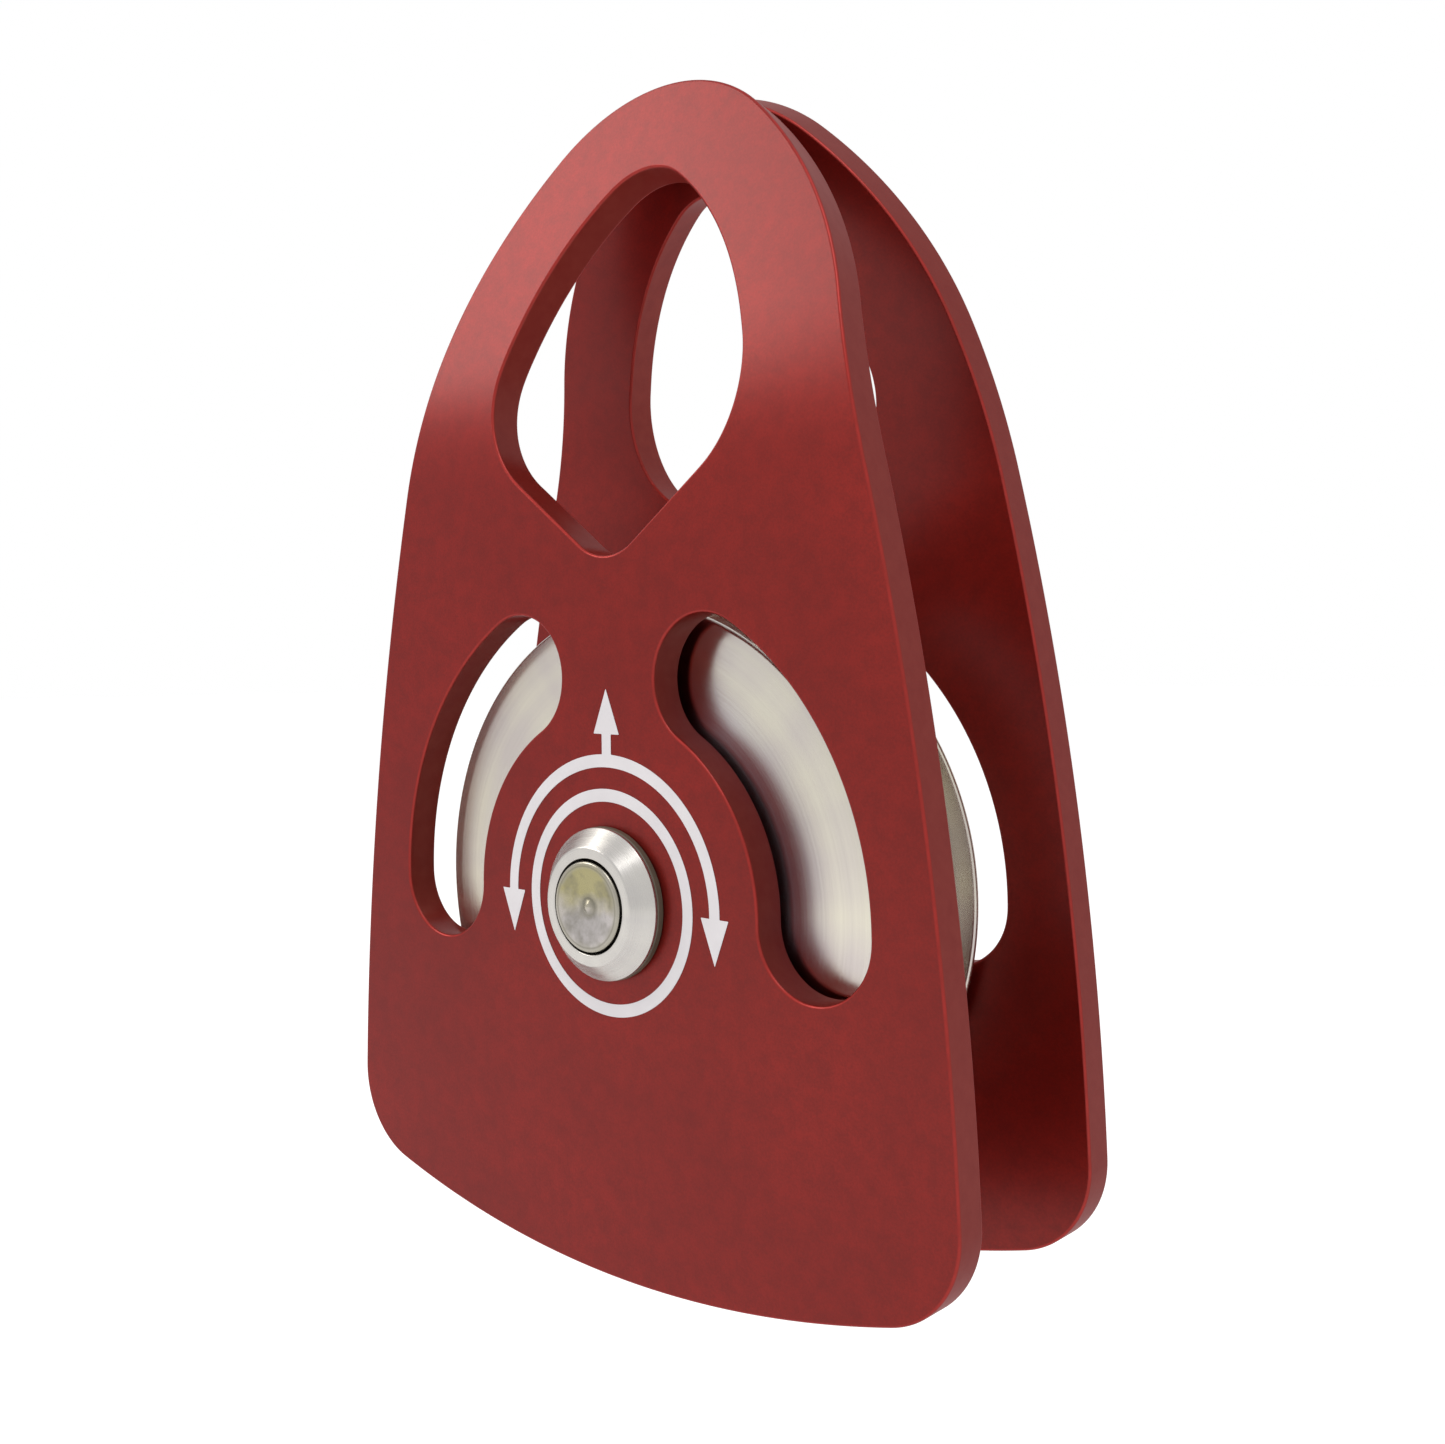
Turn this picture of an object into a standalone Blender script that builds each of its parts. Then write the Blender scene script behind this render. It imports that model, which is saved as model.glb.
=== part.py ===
"""Rope pulley for tree work: two leaning cheek plates, an axle and a ball-bearing sheave.

Metres, +Z up.  The rope runs across the sheave from left (-X) to right (+X) and the axle lies
along Y.  The origin is the centre line of the carabiner bar that carries the loaded pulley, on
the mid-plane.  Everything is drawn about the axle and hangs from an empty at the axle's centre.
"""
import math

import bmesh
import bpy
from mathutils import Matrix, Vector

# ---------------------------------------------------------------- seats and clearances
SEAT_GAP = 0.0003            # between two pieces that rest on one another
RACE_GAP = 0.0002            # between a ball and its raceway or pocket
RIM_CLEARANCE = 0.0007       # sheave rim to cheek plate
HUB_CLEARANCE = 0.0006       # sheave hub to cheek plate
EDGE_CHAMFER = 0.0004        # broken edge of the cheek plates

# ---------------------------------------------------------------- axle and its caps
AXLE_RADIUS = 0.0037
AXLE_END_BEVEL = 0.0003
AXLE_DIMPLE_RADIUS = 0.0026
AXLE_DIMPLE_DEPTH = 0.0004
AXLE_PIP_RADIUS = 0.0006
CAP_RADIUS = 0.0064
CAP_FACE_RADIUS = 0.0049     # flat ring left inside the cap's bevel
CAP_RIM_HEIGHT = 0.0002
CAP_HEIGHT = 0.0017
CAP_WASHER_RADIUS = 0.0065
CAP_WASHER_THICKNESS = 0.0003

# ---------------------------------------------------------------- bearings and what spaces them
BEARING_RADIUS = 0.0095
BEARING_WIDTH = 0.0060
BALL_RADIUS = 0.0015
BALLS_PER_BEARING = 7
RING_SHOULDER = 0.0006       # height of a raceway's shoulders over the groove's floor
SHIELD_THICKNESS = 0.0003
SHIELD_INSET = 0.0003        # shield to the bearing's end face
CAGE_THICKNESS = 0.0010
CAGE_RIM = 0.0004            # cage left on each side of a ball pocket
SPACER_LENGTH = 0.0010
SPACER_RADIUS = 0.0053
THRUST_WASHER_THICKNESS = 0.0004
THRUST_WASHER_RADIUS = 0.0053

# ---------------------------------------------------------------- sheave
SHEAVE_RADIUS = 0.0250
GROOVE_DEPTH = 0.0070
ROPE_SEAT_RADIUS = 0.0063
GROOVE_ARC_HALF_ANGLE = math.radians(76.0)
LIP_THICKNESS = 0.0006
LIP_ROUND = 0.0002
LIP_HEIGHT = 0.0009          # flat rim ring outside the hollow face
HUB_RADIUS = 0.0125
HUB_BEVEL = 0.0005
WEB_THICKNESS = 0.0138
HOLLOW_SHAPE = 1.3           # 1 is a plain cone from hub to rim, more hollows it out
BEARING_SHOULDER_RADIUS = 0.0086

# ---------------------------------------------------------------- cheek plates, drawn flat
PLATE_THICKNESS = 0.0030
PLATE_HALF_WIDTH = 0.0350
PLATE_WIDEST_BELOW_AXLE = 0.0333
PLATE_BOTTOM_BELOW_AXLE = 0.0320
PLATE_BOTTOM_ARC_RADIUS = 0.1041
PLATE_CORNER_RADIUS = 0.0082
PLATE_SHOULDER_HALF_WIDTH = 0.0230
PLATE_SHOULDER_HEIGHT = 0.0476
PLATE_TOP_HEIGHT = 0.0694
PLATE_TOP_ARC_RADIUS = 0.0172
PLATE_TOP_ARC_HALF_ANGLE = math.radians(41.7)

EYE_CROWN_HEIGHT = 0.0617
EYE_CROWN_RADIUS = 0.0065
EYE_CROWN_HALF_ANGLE = math.radians(36.4)
EYE_HALF_WIDTH = 0.01445
EYE_CORNER_RADIUS = 0.0090
EYE_CORNER_TURN = math.radians(17.1)
EYE_APEX_HEIGHT = 0.0277    # where the two straight lower sides would meet
EYE_APEX_SLOPE = math.radians(36.0)
EYE_APEX_RADIUS = 0.0052

SLOT_CENTRE_RADIUS = 0.02165
SLOT_WIDTH = 0.0107
SLOT_START = math.radians(0.0)
SLOT_END = math.radians(60.0)

# ---------------------------------------------------------------- the plates' lean
BEND_HEIGHT = 0.0412
BEND_ANGLE = math.radians(15.4)
BEND_RADIUS = 0.0455
BEND_STEPS = 6

CARABINER_BAR_RADIUS = 0.0060

# ---------------------------------------------------------------- fineness
SEALED_STEPS = 32
SMALL_STEPS = 40
SHEAVE_STEPS = 60

# ---------------------------------------------------------------- sizes that follow
bore_radius = AXLE_RADIUS + SEAT_GAP
bearing_inner_end = SPACER_LENGTH / 2 + SEAT_GAP
bearing_outer_end = bearing_inner_end + BEARING_WIDTH
bearing_middle = (bearing_inner_end + bearing_outer_end) / 2
thrust_washer_inner = bearing_outer_end + SEAT_GAP
thrust_washer_outer = thrust_washer_inner + THRUST_WASHER_THICKNESS
plate_inner = thrust_washer_outer + SEAT_GAP
plate_middle = plate_inner + PLATE_THICKNESS / 2
plate_outer = plate_inner + PLATE_THICKNESS
cap_washer_inner = plate_outer + SEAT_GAP
cap_washer_outer = cap_washer_inner + CAP_WASHER_THICKNESS
cap_base = cap_washer_outer + SEAT_GAP
cap_face = cap_base + CAP_HEIGHT
pitch_radius = (bore_radius + BEARING_RADIUS) / 2
groove_radius = BALL_RADIUS + RACE_GAP


# ---------------------------------------------------------------- helpers
def clear_scene():
    """Remove every object that is in the file."""
    for item in list(bpy.data.objects):
        bpy.data.objects.remove(item, do_unlink=True)


def finish(name, colour, metallic, roughness):
    """A Principled material in one plain colour."""
    material = bpy.data.materials.new(name)
    material.use_nodes = True
    shader = material.node_tree.nodes["Principled BSDF"]
    shader.inputs["Base Color"].default_value = (*colour, 1.0)
    shader.inputs["Metallic"].default_value = metallic
    shader.inputs["Roughness"].default_value = roughness
    return material


def add_object(name, bm, material, parent, smooth_angle=30.0):
    """Turn a bmesh into a named object with its own material."""
    bmesh.ops.recalc_face_normals(bm, faces=bm.faces[:])
    if bm.calc_volume(signed=True) < 0:
        bmesh.ops.reverse_faces(bm, faces=bm.faces[:])
    mesh = bpy.data.meshes.new(name)
    bm.to_mesh(mesh)
    bm.free()
    mesh.materials.append(material)
    mesh.shade_smooth()
    mesh.set_sharp_from_angle(angle=math.radians(smooth_angle))
    item = bpy.data.objects.new(name, mesh)
    item.parent = parent
    bpy.context.collection.objects.link(item)
    return item


def arc(centre, radius, start, end, steps):
    """Points along an arc in the plate's plane, angles from +X towards +Z."""
    return [
        (centre[0] + radius * math.cos(start + (end - start) * i / steps),
         centre[1] + radius * math.sin(start + (end - start) * i / steps))
        for i in range(steps + 1)
    ]


def blend(start, start_direction, end, end_direction, steps, fullness=0.34):
    """Inner points of a smooth curve that leaves and arrives along the given directions."""
    reach = fullness * math.dist(start, end)
    first = (start[0] + reach * start_direction[0], start[1] + reach * start_direction[1])
    last = (end[0] - reach * end_direction[0], end[1] - reach * end_direction[1])
    points = []
    for i in range(1, steps):
        t = i / steps
        weights = ((1 - t) ** 3, 3 * t * (1 - t) ** 2, 3 * t * t * (1 - t), t ** 3)
        points.append(tuple(
            sum(w * p[axis] for w, p in zip(weights, (start, first, last, end)))
            for axis in (0, 1)))
    return points


def mirrored_loop(right_half):
    """Close a right-hand half outline, bottom to top, with its mirror image."""
    left_half = [(-x, z) for x, z in reversed(right_half) if abs(x) > 1e-9]
    return right_half + left_half


def offset_loop(points, distance):
    """Move a counter-clockwise loop inwards by a distance, negative for outwards."""
    moved = []
    count = len(points)
    for i, (x, z) in enumerate(points):
        before, after = points[i - 1], points[(i + 1) % count]
        along_in = Vector((x - before[0], z - before[1])).normalized()
        along_out = Vector((after[0] - x, after[1] - z)).normalized()
        inward = Vector((-along_in.y - along_out.y, along_in.x + along_out.x))
        inward.normalize()
        stretch = inward.dot(Vector((-along_in.y, along_in.x)))
        moved.append((x + inward.x * distance / stretch, z + inward.y * distance / stretch))
    return moved


# ---------------------------------------------------------------- the cheek plate's outlines
def plate_outline():
    """Outer edge, counter-clockwise from the middle of the bottom."""
    drop = PLATE_SHOULDER_HEIGHT + PLATE_WIDEST_BELOW_AXLE
    taper = PLATE_HALF_WIDTH - PLATE_SHOULDER_HALF_WIDTH
    side_radius = (drop ** 2 + taper ** 2) / (2 * taper)
    side_centre = (PLATE_HALF_WIDTH - side_radius, -PLATE_WIDEST_BELOW_AXLE)
    shoulder_angle = math.asin(drop / side_radius)
    bottom_centre = (0.0, PLATE_BOTTOM_ARC_RADIUS - PLATE_BOTTOM_BELOW_AXLE)

    # The corner's circle lies inside both the side's circle and the bottom's circle.
    to_side = side_radius - PLATE_CORNER_RADIUS
    to_bottom = PLATE_BOTTOM_ARC_RADIUS - PLATE_CORNER_RADIUS
    apart = math.dist(side_centre, bottom_centre)
    along = (to_side ** 2 - to_bottom ** 2 + apart ** 2) / (2 * apart)
    across = math.sqrt(to_side ** 2 - along ** 2)
    unit = ((bottom_centre[0] - side_centre[0]) / apart,
            (bottom_centre[1] - side_centre[1]) / apart)
    corner = (side_centre[0] + along * unit[0] + across * unit[1],
              side_centre[1] + along * unit[1] - across * unit[0])
    from_bottom = math.atan2(corner[1] - bottom_centre[1], corner[0] - bottom_centre[0])
    from_side = math.atan2(corner[1] - side_centre[1], corner[0] - side_centre[0])

    top_centre = (0.0, PLATE_TOP_HEIGHT - PLATE_TOP_ARC_RADIUS)
    top_start = math.pi / 2 - PLATE_TOP_ARC_HALF_ANGLE
    bottom = arc(bottom_centre, PLATE_BOTTOM_ARC_RADIUS, -math.pi / 2, from_bottom, 6)
    turn = arc(corner, PLATE_CORNER_RADIUS, from_bottom, from_side, 8)
    side = arc(side_centre, side_radius, from_side, shoulder_angle, 10)
    top = arc(top_centre, PLATE_TOP_ARC_RADIUS, top_start, math.pi / 2, 7)
    shoulder = blend(
        side[-1], (-math.sin(shoulder_angle), math.cos(shoulder_angle)),
        top[0], (-math.sin(top_start), math.cos(top_start)), 8)
    return mirrored_loop(bottom + turn[1:] + side[1:] + shoulder + top)


def eye_outline():
    """Carabiner eye: a rounded V below, full sides and a round crown above."""
    lean = math.pi / 2 - EYE_APEX_SLOPE
    apex_centre = (0.0, EYE_APEX_HEIGHT + EYE_APEX_RADIUS / math.cos(EYE_APEX_SLOPE))
    corner_x = EYE_HALF_WIDTH - EYE_CORNER_RADIUS
    corner = (corner_x, EYE_APEX_HEIGHT + corner_x * math.tan(EYE_APEX_SLOPE)
              + EYE_CORNER_RADIUS / math.cos(EYE_APEX_SLOPE))
    crown_centre = (0.0, EYE_CROWN_HEIGHT - EYE_CROWN_RADIUS)
    crown_start = math.pi / 2 - EYE_CROWN_HALF_ANGLE
    apex = arc(apex_centre, EYE_APEX_RADIUS, -math.pi / 2, -lean, 4)
    turn = arc(corner, EYE_CORNER_RADIUS, -lean, EYE_CORNER_TURN, 7)
    crown = arc(crown_centre, EYE_CROWN_RADIUS, crown_start, math.pi / 2, 7)
    side = blend(
        turn[-1], (-math.sin(EYE_CORNER_TURN), math.cos(EYE_CORNER_TURN)),
        crown[0], (-math.sin(crown_start), math.cos(crown_start)), 8)
    return mirrored_loop(apex + turn + side + crown)


def slot_outline(side):
    """Curved window round the axle, on the right (1) or the left (-1)."""
    half = SLOT_WIDTH / 2
    start_centre = (SLOT_CENTRE_RADIUS * math.cos(SLOT_START),
                    SLOT_CENTRE_RADIUS * math.sin(SLOT_START))
    end_centre = (SLOT_CENTRE_RADIUS * math.cos(SLOT_END),
                  SLOT_CENTRE_RADIUS * math.sin(SLOT_END))
    points = arc((0.0, 0.0), SLOT_CENTRE_RADIUS + half, SLOT_START, SLOT_END, 10)
    points += arc(end_centre, half, SLOT_END, SLOT_END + math.pi, 10)[1:]
    points += arc((0.0, 0.0), SLOT_CENTRE_RADIUS - half, SLOT_END, SLOT_START, 6)[1:]
    points += arc(start_centre, half, SLOT_START + math.pi, SLOT_START + 2 * math.pi, 10)[1:-1]
    if side < 0:
        points = [(-x, z) for x, z in reversed(points)]
    return points


def axle_hole():
    """Hole in the cheek plate for the axle."""
    return arc((0.0, 0.0), bore_radius, 0.0, 2 * math.pi, SMALL_STEPS)[:-1]


# ---------------------------------------------------------------- the cheek plate's solid
def bend_point(offset, height):
    """Where a point of the flat plate ends up: its distance inwards and its height."""
    tangent = BEND_RADIUS * math.tan(BEND_ANGLE / 2)
    start = BEND_HEIGHT - tangent
    turned_by = min(max((height - start) / BEND_RADIUS, 0.0), BEND_ANGLE)
    beyond = max(height - start - BEND_RADIUS * BEND_ANGLE, 0.0)
    inwards = BEND_RADIUS * (1 - math.cos(turned_by)) + beyond * math.sin(turned_by)
    level = min(height, start) + BEND_RADIUS * math.sin(turned_by) + beyond * math.cos(turned_by)
    return inwards + offset * math.cos(turned_by), level - offset * math.sin(turned_by)


def cheek_plate(name, side, material, parent):
    """A plate with chamfered edges that leans inwards above the sheave."""
    half = PLATE_THICKNESS / 2
    rows = ((EDGE_CHAMFER, -half), (0.0, EDGE_CHAMFER - half),
            (0.0, half - EDGE_CHAMFER), (EDGE_CHAMFER, half))
    bm = bmesh.new()
    faces_edges = {0: [], 3: []}
    outlines = ((plate_outline(), 1), (eye_outline(), -1), (slot_outline(1), -1),
                (slot_outline(-1), -1), (axle_hole(), -1))
    for outline, inwards in outlines:
        rings = []
        for inset, offset in rows:
            loop = offset_loop(outline, inset * inwards)
            rings.append([bm.verts.new((x, offset, z)) for x, z in loop])
        count = len(outline)
        for row in range(3):
            for i in range(count):
                j = (i + 1) % count
                bm.faces.new((rings[row][i], rings[row][j], rings[row + 1][j],
                              rings[row + 1][i]))
        for row in faces_edges:
            for i in range(count):
                pair = (rings[row][i], rings[row][(i + 1) % count])
                faces_edges[row].append(bm.edges.get(pair))
    for edges in faces_edges.values():
        bmesh.ops.triangle_fill(bm, edges=edges, use_beauty=True)

    tangent = BEND_RADIUS * math.tan(BEND_ANGLE / 2)
    for step in range(BEND_STEPS + 1):
        height = BEND_HEIGHT - tangent + BEND_RADIUS * BEND_ANGLE * step / BEND_STEPS
        bmesh.ops.bisect_plane(
            bm, geom=bm.verts[:] + bm.edges[:] + bm.faces[:], dist=1e-7,
            plane_co=(0.0, 0.0, height), plane_no=(0.0, 0.0, 1.0))
    bmesh.ops.triangulate(bm, faces=bm.faces[:])
    for vert in bm.verts:
        inwards, level = bend_point(vert.co.y, vert.co.z)
        vert.co.y = side * (plate_middle - inwards)
        vert.co.z = level
    return add_object(name, bm, material, parent)


# ---------------------------------------------------------------- turned pieces
def turned(name, profile, steps, material, parent, closed=True):
    """Spin a profile of (radius, distance along the axle) points about the axle."""
    bm = bmesh.new()
    verts = [bm.verts.new((radius, along, 0.0)) for radius, along in profile]
    edges = [bm.edges.new(pair) for pair in zip(verts, verts[1:])]
    if closed:
        edges.append(bm.edges.new((verts[-1], verts[0])))
    bmesh.ops.spin(
        bm, geom=verts + edges, cent=(0, 0, 0), axis=(0, 1, 0), angle=2 * math.pi,
        steps=steps, use_merge=True)
    bmesh.ops.remove_doubles(bm, verts=bm.verts[:], dist=1e-7)
    return add_object(name, bm, material, parent)


def ring(name, inner, outer, ends, steps, material, parent):
    """A plain washer or sleeve between two distances along the axle."""
    profile = [(inner, ends[0]), (outer, ends[0]), (outer, ends[1]), (inner, ends[1])]
    return turned(name, profile, steps, material, parent)


def axle_pin(material, parent):
    """Axle with a shallow dimple and a small pip in each peened end."""
    end = cap_face
    half = [
        (0.0, end),
        (AXLE_PIP_RADIUS, end - AXLE_DIMPLE_DEPTH),
        (AXLE_DIMPLE_RADIUS * 0.6, end - AXLE_DIMPLE_DEPTH),
        (AXLE_DIMPLE_RADIUS, end),
        (AXLE_RADIUS - AXLE_END_BEVEL, end),
        (AXLE_RADIUS, end - AXLE_END_BEVEL),
    ]
    profile = half + [(radius, -along) for radius, along in reversed(half)]
    return turned("axle_pin", profile, SMALL_STEPS, material, parent, closed=False)


def axle_cap(name, side, material, parent):
    """Collar with a broad bevel and a narrow flat ring round the axle's end."""
    profile = [
        (bore_radius, side * cap_base),
        (CAP_RADIUS, side * cap_base),
        (CAP_RADIUS, side * (cap_base + CAP_RIM_HEIGHT)),
        (CAP_FACE_RADIUS, side * cap_face),
        (bore_radius, side * cap_face),
    ]
    return turned(name, profile, SMALL_STEPS, material, parent)


def sheave(material, parent):
    """Grooved wheel with all but flat faces and a shouldered bore for two bearings."""
    rim_half = plate_inner - RIM_CLEARANCE
    hub_half = plate_inner - HUB_CLEARANCE
    web_half = WEB_THICKNESS / 2
    bore = BEARING_RADIUS + SEAT_GAP
    groove_centre = SHEAVE_RADIUS - GROOVE_DEPTH + ROPE_SEAT_RADIUS
    half = []
    for i in range(6):
        angle = GROOVE_ARC_HALF_ANGLE * i / 5
        half.append((groove_centre - ROPE_SEAT_RADIUS * math.cos(angle),
                     ROPE_SEAT_RADIUS * math.sin(angle)))
    half += [
        (SHEAVE_RADIUS - LIP_ROUND, rim_half - LIP_THICKNESS),
        (SHEAVE_RADIUS, rim_half - LIP_THICKNESS + LIP_ROUND),
        (SHEAVE_RADIUS, rim_half - LIP_ROUND),
        (SHEAVE_RADIUS - LIP_ROUND, rim_half),
    ]
    hollow_outer = SHEAVE_RADIUS - LIP_HEIGHT
    hollow_inner = HUB_RADIUS + HUB_BEVEL
    for i in range(5):
        share = 1 - i / 4
        half.append((hollow_inner + (hollow_outer - hollow_inner) * share,
                     web_half + (rim_half - web_half) * share ** HOLLOW_SHAPE))
    half += [
        (HUB_RADIUS, web_half + HUB_BEVEL),
        (HUB_RADIUS, hub_half - HUB_BEVEL),
        (HUB_RADIUS - HUB_BEVEL, hub_half),
        (bore, hub_half),
        (bore, SPACER_LENGTH / 2),
        (BEARING_SHOULDER_RADIUS, SPACER_LENGTH / 2),
    ]
    profile = half + [(radius, -along) for radius, along in reversed(half[1:])]
    return turned("sheave", profile, SHEAVE_STEPS, material, parent)


# ---------------------------------------------------------------- ball bearings
def race_ring(name, seat, floor_side, middle, material, parent):
    """One ring of a bearing, with its raceway groove facing the balls."""
    half = BEARING_WIDTH / 2
    shoulder = pitch_radius + floor_side * (groove_radius - RING_SHOULDER)
    reach = math.acos((shoulder - pitch_radius) / (floor_side * groove_radius))
    profile = [(seat, middle - half), (shoulder, middle - half)]
    for i in range(5):
        angle = reach * (i / 2 - 1)
        profile.append((pitch_radius + floor_side * groove_radius * math.cos(angle),
                        middle + groove_radius * math.sin(angle)))
    profile += [(shoulder, middle + half), (seat, middle + half)]
    return turned(name, profile, SEALED_STEPS, material, parent)


def ball_direction(i):
    """Way from the axle to a bearing's ball, the first one straight up."""
    angle = 2 * math.pi * i / BALLS_PER_BEARING
    return Vector((math.sin(angle), 0.0, math.cos(angle)))


def ball_set(end, middle, material, parent):
    """The balls of one bearing, each an object of its own."""
    for i in range(BALLS_PER_BEARING):
        place = Matrix.Translation(ball_direction(i) * pitch_radius + Vector((0.0, middle, 0.0)))
        bm = bmesh.new()
        bmesh.ops.create_icosphere(bm, subdivisions=2, radius=BALL_RADIUS, matrix=place)
        add_object(f"{end}_bearing_ball_{i + 1}", bm, material, parent, smooth_angle=180.0)


def pocket_cutter(name, middle, parent):
    """Radial cylinders, one at each ball, that cut the cage's pockets."""
    bm = bmesh.new()
    length = 4 * CAGE_THICKNESS
    for i in range(BALLS_PER_BEARING):
        outwards = ball_direction(i)
        place = (Matrix.Translation(outwards * pitch_radius + Vector((0.0, middle, 0.0)))
                 @ outwards.to_track_quat("Z", "Y").to_matrix().to_4x4())
        bmesh.ops.create_cone(
            bm, cap_ends=True, segments=12, radius1=groove_radius, radius2=groove_radius,
            depth=length, matrix=place)
    cutter = add_object(name, bm, cage_plastic, parent)
    cutter.hide_render = True
    cutter.display_type = "WIRE"
    return cutter


def ball_cage(name, middle, material, parent):
    """Ring that keeps the balls apart, with a round pocket for each."""
    half = groove_radius + CAGE_RIM
    cage = ring(name, pitch_radius - CAGE_THICKNESS / 2, pitch_radius + CAGE_THICKNESS / 2,
                (middle - half, middle + half), SEALED_STEPS, material, parent)
    cut = cage.modifiers.new("pockets", "BOOLEAN")
    cut.operation = "DIFFERENCE"
    cut.solver = "EXACT"
    cut.object = pocket_cutter(name + "_cutter", middle, parent)
    return cage


def bearing(end, side, parent):
    """One sealed ball bearing: two rings, balls, cage and two shields."""
    middle = side * bearing_middle
    shoulder_inner = pitch_radius - groove_radius + RING_SHOULDER
    shoulder_outer = pitch_radius + groove_radius - RING_SHOULDER
    race_ring(end + "_bearing_inner_ring", bore_radius, -1, middle, bearing_steel, parent)
    race_ring(end + "_bearing_outer_ring", BEARING_RADIUS, 1, middle, bearing_steel, parent)
    ball_set(end, middle, ball_steel, parent)
    ball_cage(end + "_bearing_cage", middle, cage_plastic, parent)
    for face, direction in (("outward", side), ("inward", -side)):
        outer_end = middle + direction * (BEARING_WIDTH / 2 - SHIELD_INSET)
        inner_end = outer_end - direction * SHIELD_THICKNESS
        ring(f"{end}_bearing_{face}_shield", shoulder_inner + SEAT_GAP, shoulder_outer - SEAT_GAP,
             (inner_end, outer_end), SEALED_STEPS, shield_rubber, parent)


# ---------------------------------------------------------------- finishes
clear_scene()
red_anodised = finish("red_anodised", (0.27, 0.022, 0.018), 0.75, 0.42)
turned_aluminium = finish("turned_aluminium", (0.80, 0.79, 0.80), 1.0, 0.22)
axle_steel = finish("axle_steel", (0.55, 0.53, 0.44), 1.0, 0.38)
cap_steel = finish("cap_steel", (0.74, 0.72, 0.69), 1.0, 0.28)
dark_washer = finish("dark_washer", (0.06, 0.05, 0.05), 0.0, 0.6)
thrust_bronze = finish("thrust_bronze", (0.55, 0.38, 0.20), 1.0, 0.35)
bearing_steel = finish("bearing_steel", (0.62, 0.62, 0.62), 1.0, 0.2)
ball_steel = finish("ball_steel", (0.8, 0.8, 0.8), 1.0, 0.08)
cage_plastic = finish("cage_plastic", (0.12, 0.10, 0.08), 0.0, 0.5)
shield_rubber = finish("shield_rubber", (0.03, 0.03, 0.03), 0.0, 0.6)

# ---------------------------------------------------------------- assembly about the axle
crown_inwards, crown_level = bend_point(0.0, EYE_CROWN_HEIGHT)
axle_centre = bpy.data.objects.new("axle_centre", None)
axle_centre.location = (0.0, 0.0, CARABINER_BAR_RADIUS - crown_level)
bpy.context.collection.objects.link(axle_centre)

axle_pin(axle_steel, axle_centre)
sheave(turned_aluminium, axle_centre)
ring("inner_ring_spacer", bore_radius, SPACER_RADIUS, (-SPACER_LENGTH / 2, SPACER_LENGTH / 2),
     SEALED_STEPS, axle_steel, axle_centre)
for end, side in (("front", -1), ("rear", 1)):
    cheek_plate(end + "_cheek_plate", side, red_anodised, axle_centre)
    bearing(end, side, axle_centre)
    ring(end + "_thrust_washer", bore_radius, THRUST_WASHER_RADIUS,
         (side * thrust_washer_inner, side * thrust_washer_outer), SEALED_STEPS,
         thrust_bronze, axle_centre)
    ring(end + "_cap_washer", bore_radius, CAP_WASHER_RADIUS,
         (side * cap_washer_inner, side * cap_washer_outer), SMALL_STEPS,
         dark_washer, axle_centre)
    axle_cap(end + "_axle_cap", side, cap_steel, axle_centre)
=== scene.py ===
"""Looks of a rope pulley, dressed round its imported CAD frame.

Two red anodised cheek plates lean together round a carabiner eye.  A bright turned sheave runs on
ball bearings between them, and a bevelled steel cap holds each end of the axle.  Every length is
in metres, in the frame's own axes: X across the rope's path, Y along the axle, Z up.
"""
import logging
import math
from dataclasses import dataclass, field
from enum import Enum
from functools import cached_property
from typing import Sequence

import bpy
import numpy as np
from mathutils import Matrix, Vector
from mathutils.geometry import delaunay_2d_cdt


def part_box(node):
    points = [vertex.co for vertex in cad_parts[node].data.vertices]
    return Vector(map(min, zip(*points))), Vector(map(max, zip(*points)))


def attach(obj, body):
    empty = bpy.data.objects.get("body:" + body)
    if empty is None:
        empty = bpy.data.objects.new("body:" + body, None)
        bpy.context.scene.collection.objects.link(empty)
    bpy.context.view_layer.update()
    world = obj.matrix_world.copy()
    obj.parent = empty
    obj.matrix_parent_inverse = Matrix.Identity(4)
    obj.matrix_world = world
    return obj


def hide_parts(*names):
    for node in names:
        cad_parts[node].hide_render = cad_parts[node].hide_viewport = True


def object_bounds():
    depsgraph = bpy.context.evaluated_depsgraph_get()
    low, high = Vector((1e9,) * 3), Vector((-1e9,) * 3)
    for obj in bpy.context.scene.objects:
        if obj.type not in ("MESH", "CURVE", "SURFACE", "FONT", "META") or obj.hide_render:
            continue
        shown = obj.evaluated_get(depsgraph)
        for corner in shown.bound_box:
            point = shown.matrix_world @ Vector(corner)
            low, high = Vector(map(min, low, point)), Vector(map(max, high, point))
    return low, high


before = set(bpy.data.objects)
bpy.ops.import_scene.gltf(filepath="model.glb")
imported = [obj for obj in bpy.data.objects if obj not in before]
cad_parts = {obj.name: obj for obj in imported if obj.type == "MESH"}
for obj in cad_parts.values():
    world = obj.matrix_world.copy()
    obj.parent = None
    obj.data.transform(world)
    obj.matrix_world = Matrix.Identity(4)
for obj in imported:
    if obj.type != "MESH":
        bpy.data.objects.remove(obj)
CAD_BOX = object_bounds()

log = logging.getLogger("rope_pulley")

FULL_TURN = 2.0 * math.pi
PLATE_FACE = 0.0108     # a cheek plate's outer face, from the sheave's middle
DISH_RADIUS = 0.0034    # the hollow in each end of the axle
PIP_RADIUS = 0.00036    # the pip in the middle of that hollow


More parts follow.
